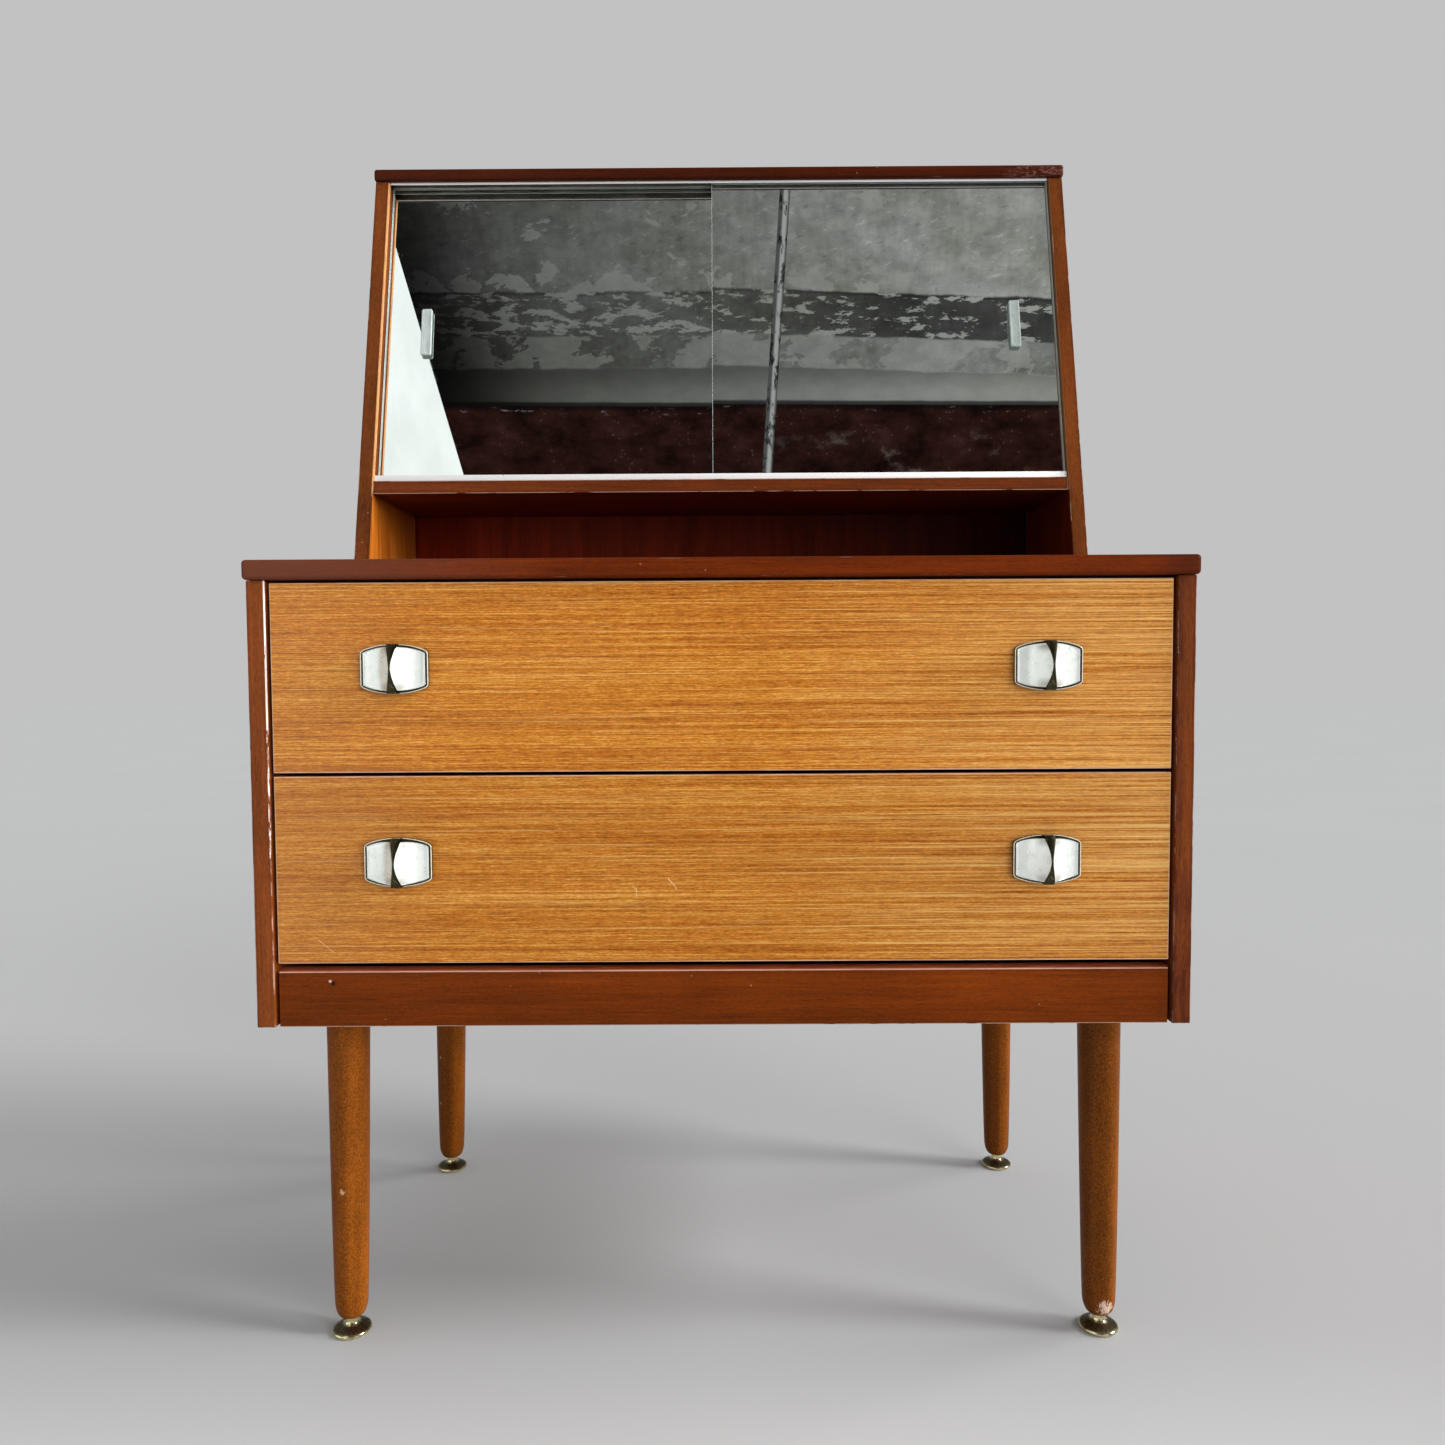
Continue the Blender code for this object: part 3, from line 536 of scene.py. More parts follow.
def grid_mesh(name, rows, wrap=False, cap_start=False, cap_end=False, angle=35.0):
    """A mesh through rows of points of equal length; wrap closes each row into a ring."""
    mesh = bmesh.new()
    lines = [[mesh.verts.new(point) for point in row] for row in rows]
    count = len(lines[0])
    steps = count if wrap else count - 1
    for upper, lower in zip(lines[:-1], lines[1:]):
        for index in range(steps):
            following = (index + 1) % count
            mesh.faces.new((upper[index], upper[following], lower[following], lower[index]))
    if cap_start:
        mesh.faces.new(lines[0])
    if cap_end:
        mesh.faces.new(lines[-1])
    bmesh.ops.remove_doubles(mesh, verts=mesh.verts, dist=1e-7)
    bmesh.ops.recalc_face_normals(mesh, faces=mesh.faces)
    return made(name, mesh, angle)


def turned_mesh(name, profile, steps=64, angle=35.0):
    """A turned solid round Z. The profile's (radius, z) points run from axis to axis."""
    rows = []
    for radius, z in profile:
        ring = []
        for step in range(steps):
            turn = 2 * math.pi * step / steps
            ring.append((radius * math.cos(turn), radius * math.sin(turn), z))
        rows.append(ring)
    return grid_mesh(name, rows, wrap=True, angle=angle)


def box_mesh(name, size, bevel, segments=3):
    """A box about the origin with rounded edges."""
    mesh = bmesh.new()
    bmesh.ops.create_cube(mesh, size=1.0)
    bmesh.ops.scale(mesh, vec=size, verts=mesh.verts)
    bmesh.ops.bevel(mesh, geom=mesh.edges, offset=bevel, segments=segments, profile=0.5, affect="EDGES")
    return made(name, mesh)


def joined(name, meshes):
    """One mesh from several (mesh, matrix) pairs."""
    whole = bmesh.new()
    for mesh, matrix in meshes:
        start = len(whole.verts)
        whole.from_mesh(mesh)
        whole.verts.ensure_lookup_table()
        bmesh.ops.transform(whole, matrix=matrix, verts=whole.verts[start:])
    return made(name, whole)


# -------- boards


def paint(node, material):
    """Gives a CAD node its finished material."""
    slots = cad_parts[node].data.materials
    slots.clear()
    slots.append(material)


# Painted light on the left side's inner face and painted shade on the right side's: the left pair of colours is
# bright, the right pair dark.
INNER_FACE_PAINTED_LIGHT = {  # dark and light colour of the cabinet sides' faces inside the open compartment
    "left": ((0.34, 0.068, 0.004), (0.62, 0.185, 0.018)),
    "right": ((0.10, 0.009, 0.003), (0.17, 0.020, 0.007)),
}
# On the left side this pale orange line is also painted light on the front strip of the inner face; on the
# right it is faint wear.
WORN_AND_PAINTED_LIGHT_LINE = {"left": 0.60, "right": 0.12}  # strength of the pale line down a cabinet side's inner arris
WORN_UP_TO = {"left": 0.66, "right": 0.35}  # share of a case side's inner arris that is worn, at its top


def case_side(index, side, name):
    """A side of the case: its front edge's inner arris is worn, and the right one is stained there."""
    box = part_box("case_side_" + name)
    shader = case_wood("case side " + name, "side", "z", box, 11 + index, wear=0.62)
    inner = box[(1 - side) // 2].x
    x, y, z = shader.axes()
    near_inner = abs(x - inner).spread(0.0014, 0.0007)
    at_front = (y - CASE[0].y).spread(0.0014, 0.0007)
    broken = shader.streaks("z", 45.0, 300.0, 70 + index, 4.0, 0.75)
    height = z.spread(CASE[0].z, CASE[1].z, 0.30, WORN_UP_TO[name], smooth=False)
    if name == "right":
        blots = shader.streaks("z", 30.0, 160.0, 74, 4.0, 0.75)
        inward = x.spread(inner + 0.0085, inner + 0.0030, 0.0, 0.85)
        foot = z.spread(CASE[0].z + 0.20, CASE[0].z + 0.07, 0.0, 0.90)
        head = z.spread(CASE[1].z - 0.17, CASE[1].z - 0.05, 0.0, 0.35)
        stain = shader.math("MAXIMUM", shader.math("MAXIMUM", foot, head), inward)
        stain = stain * blots.spread(0.40, 0.60, 0.40, 0.92)
        shader.coat(stain * at_front, (0.070, 0.0125, 0.0070))
    shader.coat(near_inner * at_front * shader.math("LESS_THAN", broken, height), (0.90, 0.78, 0.72))
    paint("case_side_" + name, shader.finished())


def cabinet_side(index, side, name):
    """A side of the cabinet: painted light on the left one's inner face inside the compartment and painted
    shade on the right one's, and a worn pale line down the slanted front edge, on the left side partly painted
    light.
    """
    low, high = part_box("cabinet_side_" + name)
    foot = Vector((low.x, CABINET[0].y, CABINET[0].z))
    shader = case_wood("cabinet side " + name, "cheek", "z", (foot, high), 21 + index, lean=LEAN, wear=0.35)
    inner = (low, high)[(1 - side) // 2].x
    x, y, z = shader.axes()
    near_inner = abs(x - inner).spread(0.0013, 0.0007)
    front = CABINET[0].y + (z - CABINET[0].z) * LEAN
    at_front = (y - front).spread(0.0062, 0.0046)
    broken = shader.streaks("z", 18.0, 260.0, 80 + index, 3.0, 0.7)
    shelf_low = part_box("cabinet_shelf")[0].z
    above = z.spread(shelf_low - 0.004, shelf_low + 0.004)
    inside = abs(x - inner).spread(0.0008, 0.0004) * (1.0 - above) * (y - front).spread(0.0008, 0.0020)
    # painted light on the left side's inner face, painted shade on the right side's
    inner_painted_light = shader.streaks("z", 8.0, 160.0, 85 + index, 3.0, 0.6)
    inner_painted_light = shader.ramp(inner_painted_light, (0.36, INNER_FACE_PAINTED_LIGHT[name][0]), (0.62, INNER_FACE_PAINTED_LIGHT[name][1]))
    shader.coat(inside * 0.85, inner_painted_light)
    # wear on the arris, and on the left side painted light on the inner face's front strip
    strength = WORN_AND_PAINTED_LIGHT_LINE[name]
    line = near_inner * at_front * above * broken.spread(0.30, 0.50, 0.55 * strength, strength)
    shader.coat(line, (0.95, 0.50, 0.20))
    paint("cabinet_side_" + name, shader.finished())


def desk_top():
    """The desk top, with a painted reflection at its left end and dark with dirt at its right."""
    low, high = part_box("desk_top")
    shader = case_wood("desk top", "desk", "x", (low, high), 31, wear=0.28, wear_width=0.0012)
    x, y, z = shader.axes()
    # painted reflection: a pale pinkish haze at the left end
    shader.coat(x.spread(-0.10, CASE[0].x, 0.0, 0.62), (0.165, 0.060, 0.036))
    shader.coat(x.spread(high.x - 0.045, high.x - 0.010, 0.0, 0.55), (0.050, 0.010, 0.004))
    paint("desk_top", shader.finished())


def cabinet_cap():
    """The cap, scuffed near the right end of its front edge."""
    low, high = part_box("cabinet_cap")
    shader = case_wood("cap", "cap", "x", (low, high), 33, wear=0.22, wear_width=0.0012)
    x, y, z = shader.axes()
    right_end = x.spread(high.x - 0.075, high.x - 0.045)
    on_front = y.spread(low.y + 0.006, low.y + 0.003)
    scuffs = shader.streaks("x", 120.0, 420.0, 91, 5.0, 0.75, 1.5)
    shader.coat(scuffs.spread(0.50, 0.60) * 0.6 * (right_end * on_front), (0.36, 0.17, 0.15))
    paint("cabinet_cap", shader.finished())


def plinth_rail():
    """The plinth, with a bruise near its left end, a bare top face and a rubbed upper arris."""
    low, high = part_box("plinth_rail")
    shader = case_wood("plinth", "plinth", "x", (low, high), 37, wear=0.95, wear_width=0.0008)
    dent = Vector((low.x + 0.047, low.y, high.z - 0.010))
    bruise = shader.reach(dent).spread(0.0024, 0.0012)
    # a painted highlight beside the bruise
    glint = shader.reach(dent + Vector((-0.0024, 0, 0.0020))).spread(0.0016, 0.0008)
    shader.coat(bruise * 0.9, (0.02, 0.005, 0.004))
    shader.coat(glint * 0.8, (0.75, 0.55, 0.48))
    x, y, z = shader.axes()
    on_top = z.spread(high.z - 0.0004, high.z - 0.0001)
    bare = shader.streaks("x", 30.0, 300.0, 39, 3.0, 0.7)
    shader.coat(on_top, shader.ramp(bare, (0.35, (0.42, 0.100, 0.035)), (0.65, (0.72, 0.210, 0.090))))
    arris = z.spread(high.z - 0.0013, high.z - 0.0006) * 0.75
    arris = arris * y.spread(low.y + 0.0011, low.y + 0.0006) * bare.spread(0.34, 0.52, 0.35, 1.0)
    shader.coat(arris, (0.66, 0.36, 0.26))
    paint("plinth_rail", shader.finished())


for index, (side, name) in enumerate(SIDES):
    case_side(index, side, name)
    cabinet_side(index, side, name)
desk_top()
cabinet_cap()
shelf = case_wood("shelf", "shelf", "x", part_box("cabinet_shelf"), 35, lean=LEAN, wear=0.85, wear_width=0.0008)
paint("cabinet_shelf", shelf.finished())
plinth_rail()

SCRATCHES = {
    "lower": (
        ((-0.0440, 0.4089), (-0.0384, 0.4025), 0.0010),
        ((-0.0384, 0.4025), (-0.0375, 0.4000), 0.0008),
        ((-0.0734, 0.4030), (-0.0700, 0.4000), 0.0007),
        ((-0.0700, 0.4000), (-0.0697, 0.3935), 0.0006),
        ((-0.330, 0.3600), (-0.318, 0.3500), 0.0005),
    ),
    "upper": (((0.020, 0.6060), (0.023, 0.6040), 0.0005), ((0.150, 0.5890), (0.156, 0.5885), 0.0005)),
}
# Painted shade: how far each drawer's veneer is darkened, the lower drawer most.
DRAWER_PAINTED_SHADE = {"lower": 0.885, "upper": 0.990}
LIGHT_WOOD = ((0.40, 0.235, 0.115), (0.62, 0.42, 0.23))
STAINED = ((0.110, 0.0085, 0.0012), (0.235, 0.0240, 0.0040))
HARDBOARD = ((0.18, 0.070, 0.028), (0.30, 0.130, 0.056))

for level, drawer in enumerate(DRAWERS):
    prefix = drawer + "_drawer_"
    front = prefix + "front"
    paint(front, drawer_veneer(front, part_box(front), 41 + 10 * level, SCRATCHES[drawer], DRAWER_PAINTED_SHADE[drawer]))
    for index, part in enumerate(("side_left", "side_right", "back")):
        grain = "x" if part == "back" else "y"
        node = prefix + part
        paint(node, plain_wood(node, LIGHT_WOOD, grain, 61 + 7 * level + index, box=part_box(node)))
    paint(prefix + "bottom", plain_wood(prefix + "bottom", HARDBOARD, "x", 75 + level, rough=0.5))
    for index, (side, name) in enumerate(SIDES):
        node = "runner_" + drawer + "_" + name
        paint(node, plain_wood(node, LIGHT_WOOD, "y", 81 + 3 * level + index, box=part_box(node)))

paint("top_front_rail", plain_wood("top front rail", LIGHT_WOOD, "x", 95))
paint("base_panel", plain_wood("base panel", ((0.11, 0.045, 0.02), (0.19, 0.085, 0.038)), "x", 96, rough=0.7))

# -------- back panels, pinned on

PIN_RADIUS = 0.0022
PIN_PITCH = 0.075
PANEL_INSET = 0.0004  # keeps the pin heads inside the panels' own boxes


def pinned_panel(node, name, seed, front_tones, painted_light_run=None, rear=None):
    """A thin back panel with a row of pins along its edges."""
    low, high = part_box(node)
    size = high - low
    thin = Vector((size.x, size.y - PANEL_INSET, size.z))
    middle = (low + high) / 2 - Vector((0, PANEL_INSET / 2, 0))
    material = plain_wood(name, front_tones, "z", seed, 0.6, (low, high), painted_light_run, rear)
    obj = piece(name, box_mesh(name, thin, 0.0005, 2), "carcass", node, material)
    obj.data.transform(Matrix.Translation(middle))
    dome = [(0, 0.00035), (PIN_RADIUS * 0.6, 0.0003), (PIN_RADIUS, 0.0001)]
    head = turned_mesh("pin", dome + [(PIN_RADIUS, -0.0012), (0, -0.0012)], 14)
    margin = 0.008
    spots = []
    for start, end, fixed, along in (
        (low.x, high.x, low.z + margin, "x"),
        (low.x, high.x, high.z - margin, "x"),
        (low.z, high.z, low.x + margin, "z"),
        (low.z, high.z, high.x - margin, "z"),
    ):
        length = end - start - 2 * margin
        count = max(2, round(length / PIN_PITCH))
        for index in range(count + (along == "x")):
            at = start + margin + length * (index + (0.5 if along == "z" else 0.0)) / count
            spots.append((at, fixed) if along == "x" else (fixed, at))
    turn = Matrix.Rotation(-math.pi / 2, 4, "X")
    heads = [(head, Matrix.Translation((x, high.y - PANEL_INSET, z)) @ turn) for x, z in spots]
    steel = bright_metal(name + " pin steel", (0.42, 0.40, 0.37), "z", seed + 1, 1.0, 0.42, 0.2, 0.6)
    piece(name + "_pins", joined(name + "_pins", heads), "carcass", node, steel, replace=False)


pinned_panel("case_back_panel", "case_back_board", 101, HARDBOARD)
# Painted light and shade on the compartment's back panel: lighter at the left, darker at the right.
pinned_panel("cabinet_back_panel", "cabinet_back_board", 104, STAINED, (1.12, 0.30), HARDBOARD)

# -------- legs

LEG_HEAD_RADIUS = 0.0181
LEG_SHOULDER_RADIUS = 0.0140
LEG_SHOULDER = 0.0300  # height at which the taper turns into the rounded foot
LEG_BELLY = 0.75  # below 1 the taper swells
LEG_FOOT_RADIUS = 0.0080
BARE = (0.64, 0.46, 0.35)  # wood where the lacquer is knocked off
PALE_NICK = (0.62, 0.36, 0.20)


def leg_mesh(name, foot, head):
    """The leg about its own axis: a long swelling taper and a rounded foot."""
    profile = [(0.0, head), (LEG_HEAD_RADIUS, head)]
    steps = 28
    for step in range(1, steps):
        rise = 1.0 - step / steps
        radius = LEG_SHOULDER_RADIUS + (LEG_HEAD_RADIUS - LEG_SHOULDER_RADIUS) * rise**LEG_BELLY
        profile.append((radius, LEG_SHOULDER + (head - LEG_SHOULDER) * rise))
    turns = 14
    for turn in range(turns + 1):
        angle = math.pi / 2 * turn / turns
        radius = LEG_FOOT_RADIUS + (LEG_SHOULDER_RADIUS - LEG_FOOT_RADIUS) * math.cos(angle)
        profile.append((radius, LEG_SHOULDER - (LEG_SHOULDER - foot) * math.sin(angle)))
    profile += [(0.0042, foot), (0.0042, foot + 0.004), (0.0, foot + 0.004)]
    return turned_mesh(name, [(radius, z - head) for radius, z in profile], 72)


# Painted shade: each leg's wood is scaled by its own factor, the front left leg lightest.
LEG_PAINTED_SHADE = {"front_left": 0.66, "front_right": 0.46, "rear_left": 0.46, "rear_right": 0.46}
CHIPS = {  # place on the leg's own frame (origin at its head), radius, colour
    "front_left": (
        ((-0.0018, -0.0160, -0.1555), 0.0019, PALE_NICK),
        ((-0.0022, -0.0160, -0.1535), 0.0012, PALE_NICK),
    ),
    "front_right": (((0.0020, -0.0125, -0.2635), 0.0056, BARE), ((-0.0012, -0.0125, -0.2590), 0.0034, BARE)),
    "rear_left": (((-0.0080, -0.0120, -0.150), 0.0016, BARE), ((-0.0090, -0.0110, -0.205), 0.0012, BARE)),
    "rear_right": (((0.0080, -0.0120, -0.120), 0.0010, PALE_NICK),),
}

for side, suffix in CORNERS:
    low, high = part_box("leg_" + suffix)
    plate = centre("leg_plate_" + suffix)
    glide = centre("glide_" + suffix)
    top = Vector((plate.x, plate.y, high.z - 0.0002))
    splay = math.atan((glide.x - top.x) / (top.z - low.z))
    mesh = leg_mesh("leg_" + suffix, low.z, top.z)
    wood = leg_wood("leg wood " + suffix, 111 + len(suffix) + side, CHIPS[suffix], LEG_PAINTED_SHADE[suffix])
    piece("turned_leg_" + suffix, mesh, "carcass", "leg_" + suffix, wood, top, (0, -splay, 0))

# -------- leg plates and their screws

steel = bright_metal("zinc steel", (0.52, 0.53, 0.53), "y", 131, 1.0, 0.38, 0.12, 0.5)
PLATE_SCREW_INSET = 0.009


def slotted_head(name, radius, height, slot_width, slot_depth):
    """A round screw head with a straight slot, standing on z = 0."""
    profile = [(0.0, height), (radius * 0.55, height), (radius * 0.86, height * 0.8)]
    profile += [(radius, height * 0.35), (radius, 0.0), (0.0, 0.0)]
    head = placed(name, turned_mesh(name, profile, 28))
    bpy.ops.mesh.primitive_cube_add(size=1.0, location=(0, 0, height))
    tool = bpy.context.object
    tool.scale = (radius * 3, slot_width, slot_depth * 2)
    slot = head.modifiers.new("slot", "BOOLEAN")
    slot.operation = "DIFFERENCE"
    slot.solver = "EXACT"
    slot.object = tool
    mesh = with_modifiers(head)
    bpy.data.objects.remove(tool, do_unlink=True)
    return smooth(mesh, 30)


plate_head = slotted_head("plate screw", 0.0034, 0.0012, 0.0009, 0.0007)
heads = []
turner = random.Random(9)
for _, suffix in CORNERS:
    paint("leg_plate_" + suffix, steel)
    low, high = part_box("leg_plate_" + suffix)
    for x in (low.x + PLATE_SCREW_INSET, high.x - PLATE_SCREW_INSET):
        for y in (low.y + PLATE_SCREW_INSET, high.y - PLATE_SCREW_INSET):
            flip = Matrix.Rotation(math.pi, 4, "X") @ Matrix.Rotation(turner.uniform(0, 3), 4, "Z")
            heads.append((plate_head, Matrix.Translation((x, y, low.z)) @ flip))
piece("leg_plate_screws", joined("leg_plate_screws", heads), "carcass", "", steel, replace=False)

# -------- glides

GLIDE_DISC = (  # radius and z of the sheet-metal foot, down its outer side
    [(0.0, 0.0160), (0.0036, 0.0160), (0.0036, 0.0146), (0.0058, 0.0143), (0.0060, 0.0138)]
    + [(0.0056, 0.0118), (0.0058, 0.0100), (0.0066, 0.0086), (0.0086, 0.0072), (0.0116, 0.0060)]
    + [(0.0142, 0.0049), (0.0158, 0.0039), (0.0165, 0.0032), (0.0167, 0.0025), (0.0166, 0.0016)]
    + [(0.0161, 0.0007), (0.0152, 0.0001), (0.0140, 0.0000), (0.0, 0.0)]
)


def glide_brass(name, seed):
    """Plating that is bright on the neck and the rim and brown on the disc between them."""
    shader = Shader(name)
    x, y, z = shader.axes()
    radius = shader.math("SQRT", shader.math("POWER", x, 2.0) + shader.math("POWER", y, 2.0))
    turn = shader.math("ARCTAN2", y, x)
    rings = shader.noise(shader.join(radius * 2600.0, turn * 1.2, z), 1.0, 3.0, 0.7)
    spokes = shader.noise(shader.join(radius * 160.0, turn * 9.0, z), 1.0, 3.0, 0.7)
    stain = shader.noise(shader.place + (seed, seed, seed), 330.0, 4.0, 0.65)
    disc = radius.spread(0.0066, 0.0085) * radius.spread(0.0163, 0.0150) * z.spread(0.0020, 0.0036)
    dull = disc * spokes.spread(0.25, 0.60, 0.55, 1.0)
    shader.colour = shader.mix(dull, (0.80, 0.70, 0.42), (0.115, 0.088, 0.045))
    mottle = stain.spread(0.50, 0.68) * 0.6
    shader.coat(mottle, (0.20, 0.16, 0.085))
    return shader.finished(Metallic=1.0, Roughness=0.20 + dull * 0.22, bump=(rings + stain, 0.25, 0.00008))


for side, suffix in CORNERS:
    node = "glide_" + suffix
    place = centre(node)
    mesh = turned_mesh(node, GLIDE_DISC, 72, 50)
    material = glide_brass("glide brass " + suffix, 2.0 + side + len(suffix.split("_")[0]))
    piece("glide_foot_" + suffix, mesh, node, node, material, (place.x, place.y, 0.0))

# -------- handles

HALF_WIDTH = 0.0273
HALF_HEIGHT = 0.0199  # at the middle of its bulging top edge
SIDE_STRAIGHT = 0.0122  # half length of its straight sides
CROWN = 0.0035  # fall of that edge from its middle to CROWN_X
CROWN_X = 0.0226
CROWN_POWER = 2.3
RIM_WIDTH = 0.0021
RIM_HEIGHT = 0.0045  # heights are above the drawer front
GROOVE_HEIGHT = 0.0033  # of the groove inside the rim
BED_HEIGHT = 0.0026  # of the bed that the liners lie in
CREST_MIDDLE = 0.0183  # height of the web's crest
CREST_END = 0.0112
WEB_MIDDLE = 0.0006  # half thickness of the web
WEB_END = 0.0042
WEB_FLARE = 1.6
SCOOP_FLOOR = 0.0034
SCOOP_CURVE = 2.2
CLEAR = 0.0003  # gap round a liner


def quarter_outline(inset):
    """A quarter of the barrel-shaped outline, from the middle of its right side to the middle of its top."""
    points = [(HALF_WIDTH, 0.0), (HALF_WIDTH, SIDE_STRAIGHT * 0.5)]
    crown_z = HALF_HEIGHT - CROWN
    pull = (HALF_WIDTH, crown_z - CROWN * CROWN_POWER / CROWN_X * (HALF_WIDTH - CROWN_X))
    steps = 14
    for step in range(steps + 1):
        t = step / steps
        weights = ((1 - t) ** 2, 2 * t * (1 - t), t * t)
        ends = ((HALF_WIDTH, SIDE_STRAIGHT), pull, (CROWN_X, crown_z))
        points.append(tuple(sum(w * end[axis] for w, end in zip(weights, ends)) for axis in range(2)))
    steps = 16
    for step in range(1, steps + 1):
        x = CROWN_X * (1 - step / steps)
        points.append((x, HALF_HEIGHT - CROWN * (x / CROWN_X) ** CROWN_POWER))
    if not inset:
        return points
    moved = []
    for index, (x, z) in enumerate(points):
        before = points[max(index - 1, 0)]
        after = points[min(index + 1, len(points) - 1)]
        run = Vector((after[0] - before[0], after[1] - before[1])).normalized()
        moved.append((max(x - run.y * inset, 0.0), max(z + run.x * inset, 0.0)))
    moved[0] = (HALF_WIDTH - inset, 0.0)
    moved[-1] = (0.0, HALF_HEIGHT - inset)
    return moved


def handle_outline(inset):
    """The whole outline, anticlockwise, drawn in by inset."""
    quarter = quarter_outline(inset)
    upper = quarter + [(-x, z) for x, z in reversed(quarter[:-1])]
    return upper + [(x, -z) for x, z in reversed(upper[1:-1])]


def outline_height(x, inset):
    """Half height of the outline at x."""
    x = abs(x)
    points = quarter_outline(inset)[1:]
    for (right, low), (left, high) in zip(points[:-1], points[1:]):
        if left <= x <= right and right > left:
            return low + (high - low) * (right - x) / (right - left)
    return points[1][1] if x > 0.01 else points[-1][1]


def web_half(v):
    """Half thickness of the web, from -1 at its foot to 1 at its head."""
    return WEB_MIDDLE + (WEB_END - WEB_MIDDLE) * abs(v) ** WEB_FLARE


def crest(v):
    """Height of the web's crest, from -1 at its foot to 1 at its head."""
    return CREST_MIDDLE - (CREST_MIDDLE - CREST_END) * v**2


def rim_mesh(name):
    """The rim: a rounded bead round the outline, with the bed of the liners inside it."""
    section = (  # drawn in from the outline, and height above the drawer front
        (0.00020, 0.0),
        (0.0, 0.0004),
        (0.0, RIM_HEIGHT - 0.0009),
        (0.00010, RIM_HEIGHT - 0.00035),
        (0.00030, RIM_HEIGHT - 0.00008),
        (0.00050, RIM_HEIGHT),
        (0.00070, RIM_HEIGHT - 0.00010),
        (0.00088, RIM_HEIGHT - 0.00045),
        (0.00105, GROOVE_HEIGHT + 0.0001),
        (0.00125, GROOVE_HEIGHT),
        (RIM_WIDTH - 0.0001, GROOVE_HEIGHT),
        (RIM_WIDTH, BED_HEIGHT),
    )
    rows = [[(x, -height, z) for x, z in handle_outline(inset)] for inset, height in section]
    return grid_mesh(name, rows, wrap=True, cap_start=True, cap_end=True, angle=50)


def web_mesh(name):
    """The standing web: an hourglass in front view, arched in side view, with a softened crest."""
    rows = []
    steps = 44
    for step in range(steps + 1):
        v = -1 + 2 * step / steps
        half = web_half(v)
        top = crest(v)
        soft = min(0.00045, half * 0.6)
        row = []
        for x, height in (
            (-half, BED_HEIGHT - 0.0002),
            (-half, top - soft),
            (-half + soft * 0.3, top - soft * 0.3),
            (-half + soft, top),
            (0.0, top + 0.0001),
            (half - soft, top),
            (half - soft * 0.3, top - soft * 0.3),
            (half, top - soft),
            (half, BED_HEIGHT - 0.0002),
        ):
            row.append((x, -height, v * (outline_height(x, 0.0) - 0.00015)))
        rows.append(row)
    return grid_mesh(name, rows, wrap=True, cap_start=True, cap_end=True, angle=40)


def liner_mesh(name, side):
    """A bright pressed liner that sweeps from the rim up to the web's crest."""
    rows = []
    down = 48
    across = 34
    for step in range(down + 1):
        v = -math.cos(math.pi * step / down)
        row = []
        for column in range(across + 1):
            s = math.sin(math.pi / 2 * column / across) ** 0.9
            start = web_half(v) + CLEAR * 0.5
            x = start + (HALF_WIDTH - RIM_WIDTH - CLEAR - start) * s
            z = v * (outline_height(x, RIM_WIDTH) - CLEAR)
            lift = SCOOP_FLOOR + (crest(v) - 0.0004 - SCOOP_FLOOR) * (1 - s) ** SCOOP_CURVE
            lip = 0.0007 * max(0.0, (s - 0.93) / 0.07) ** 2 + 0.0005 * max(0.0, (abs(v) - 0.94) / 0.06) ** 2
            row.append((side * x, -(lift + lip), z))
        rows.append(row)
    solid = placed(name, grid_mesh(name, rows))
    thick = solid.modifiers.new("sheet", "SOLIDIFY")
    thick.thickness = 0.0004
    thick.offset = -1.0 if side > 0 else 1.0
    final = with_modifiers(solid)
    final.name = name
    return smooth(final, 50)


def liner_metal(name, seed, tone):
    """Polished aluminium, clouded and a little pitted, with painted shade beside the web's ends."""
    shader = Shader(name)
    shifted = shader.place + (seed, seed * 0.7, seed * 0.3)
    cloud = shader.noise(shifted, 150.0, 3.0, 0.6)
    fine = shader.noise(shifted, 900.0, 3.0, 0.7)
    specks = shader.cells(shifted, 260.0)
    shader.colour = shader.ramp(cloud, (0.32, (0.85, 0.90, 0.86)), (0.60, (0.96, 0.99, 0.96)))
    shader.coat(fine.spread(0.60, 0.74) * 0.35, (0.66, 0.68, 0.63))
    pits = specks.spread(0.09, 0.04) * 0.30
    shader.coat(pits, (0.36, 0.34, 0.28))
    x, y, z = shader.axes()
    # painted shade: grey where the liner rises beside the web's top and bottom ends
    beside = abs(x).spread(0.0125, 0.0060)
    at_end = abs(z).spread(0.0085, 0.0150)
    painted_shade_by_web = beside * (at_end * cloud.spread(0.34, 0.52))
    shader.coat(painted_shade_by_web * 0.62, (0.40, 0.41, 0.35))
    # tone scales the whole colour: painted light above 1, painted shade below 1
    shader.set(Base_Color=shader.colour * (tone, tone, 0.985 * tone), Metallic=0.32)
    shader.set(Roughness=0.22 + cloud * 0.14)
    shader.bump(cloud + fine * 0.3, 0.30, 0.00025)
    return shader.material


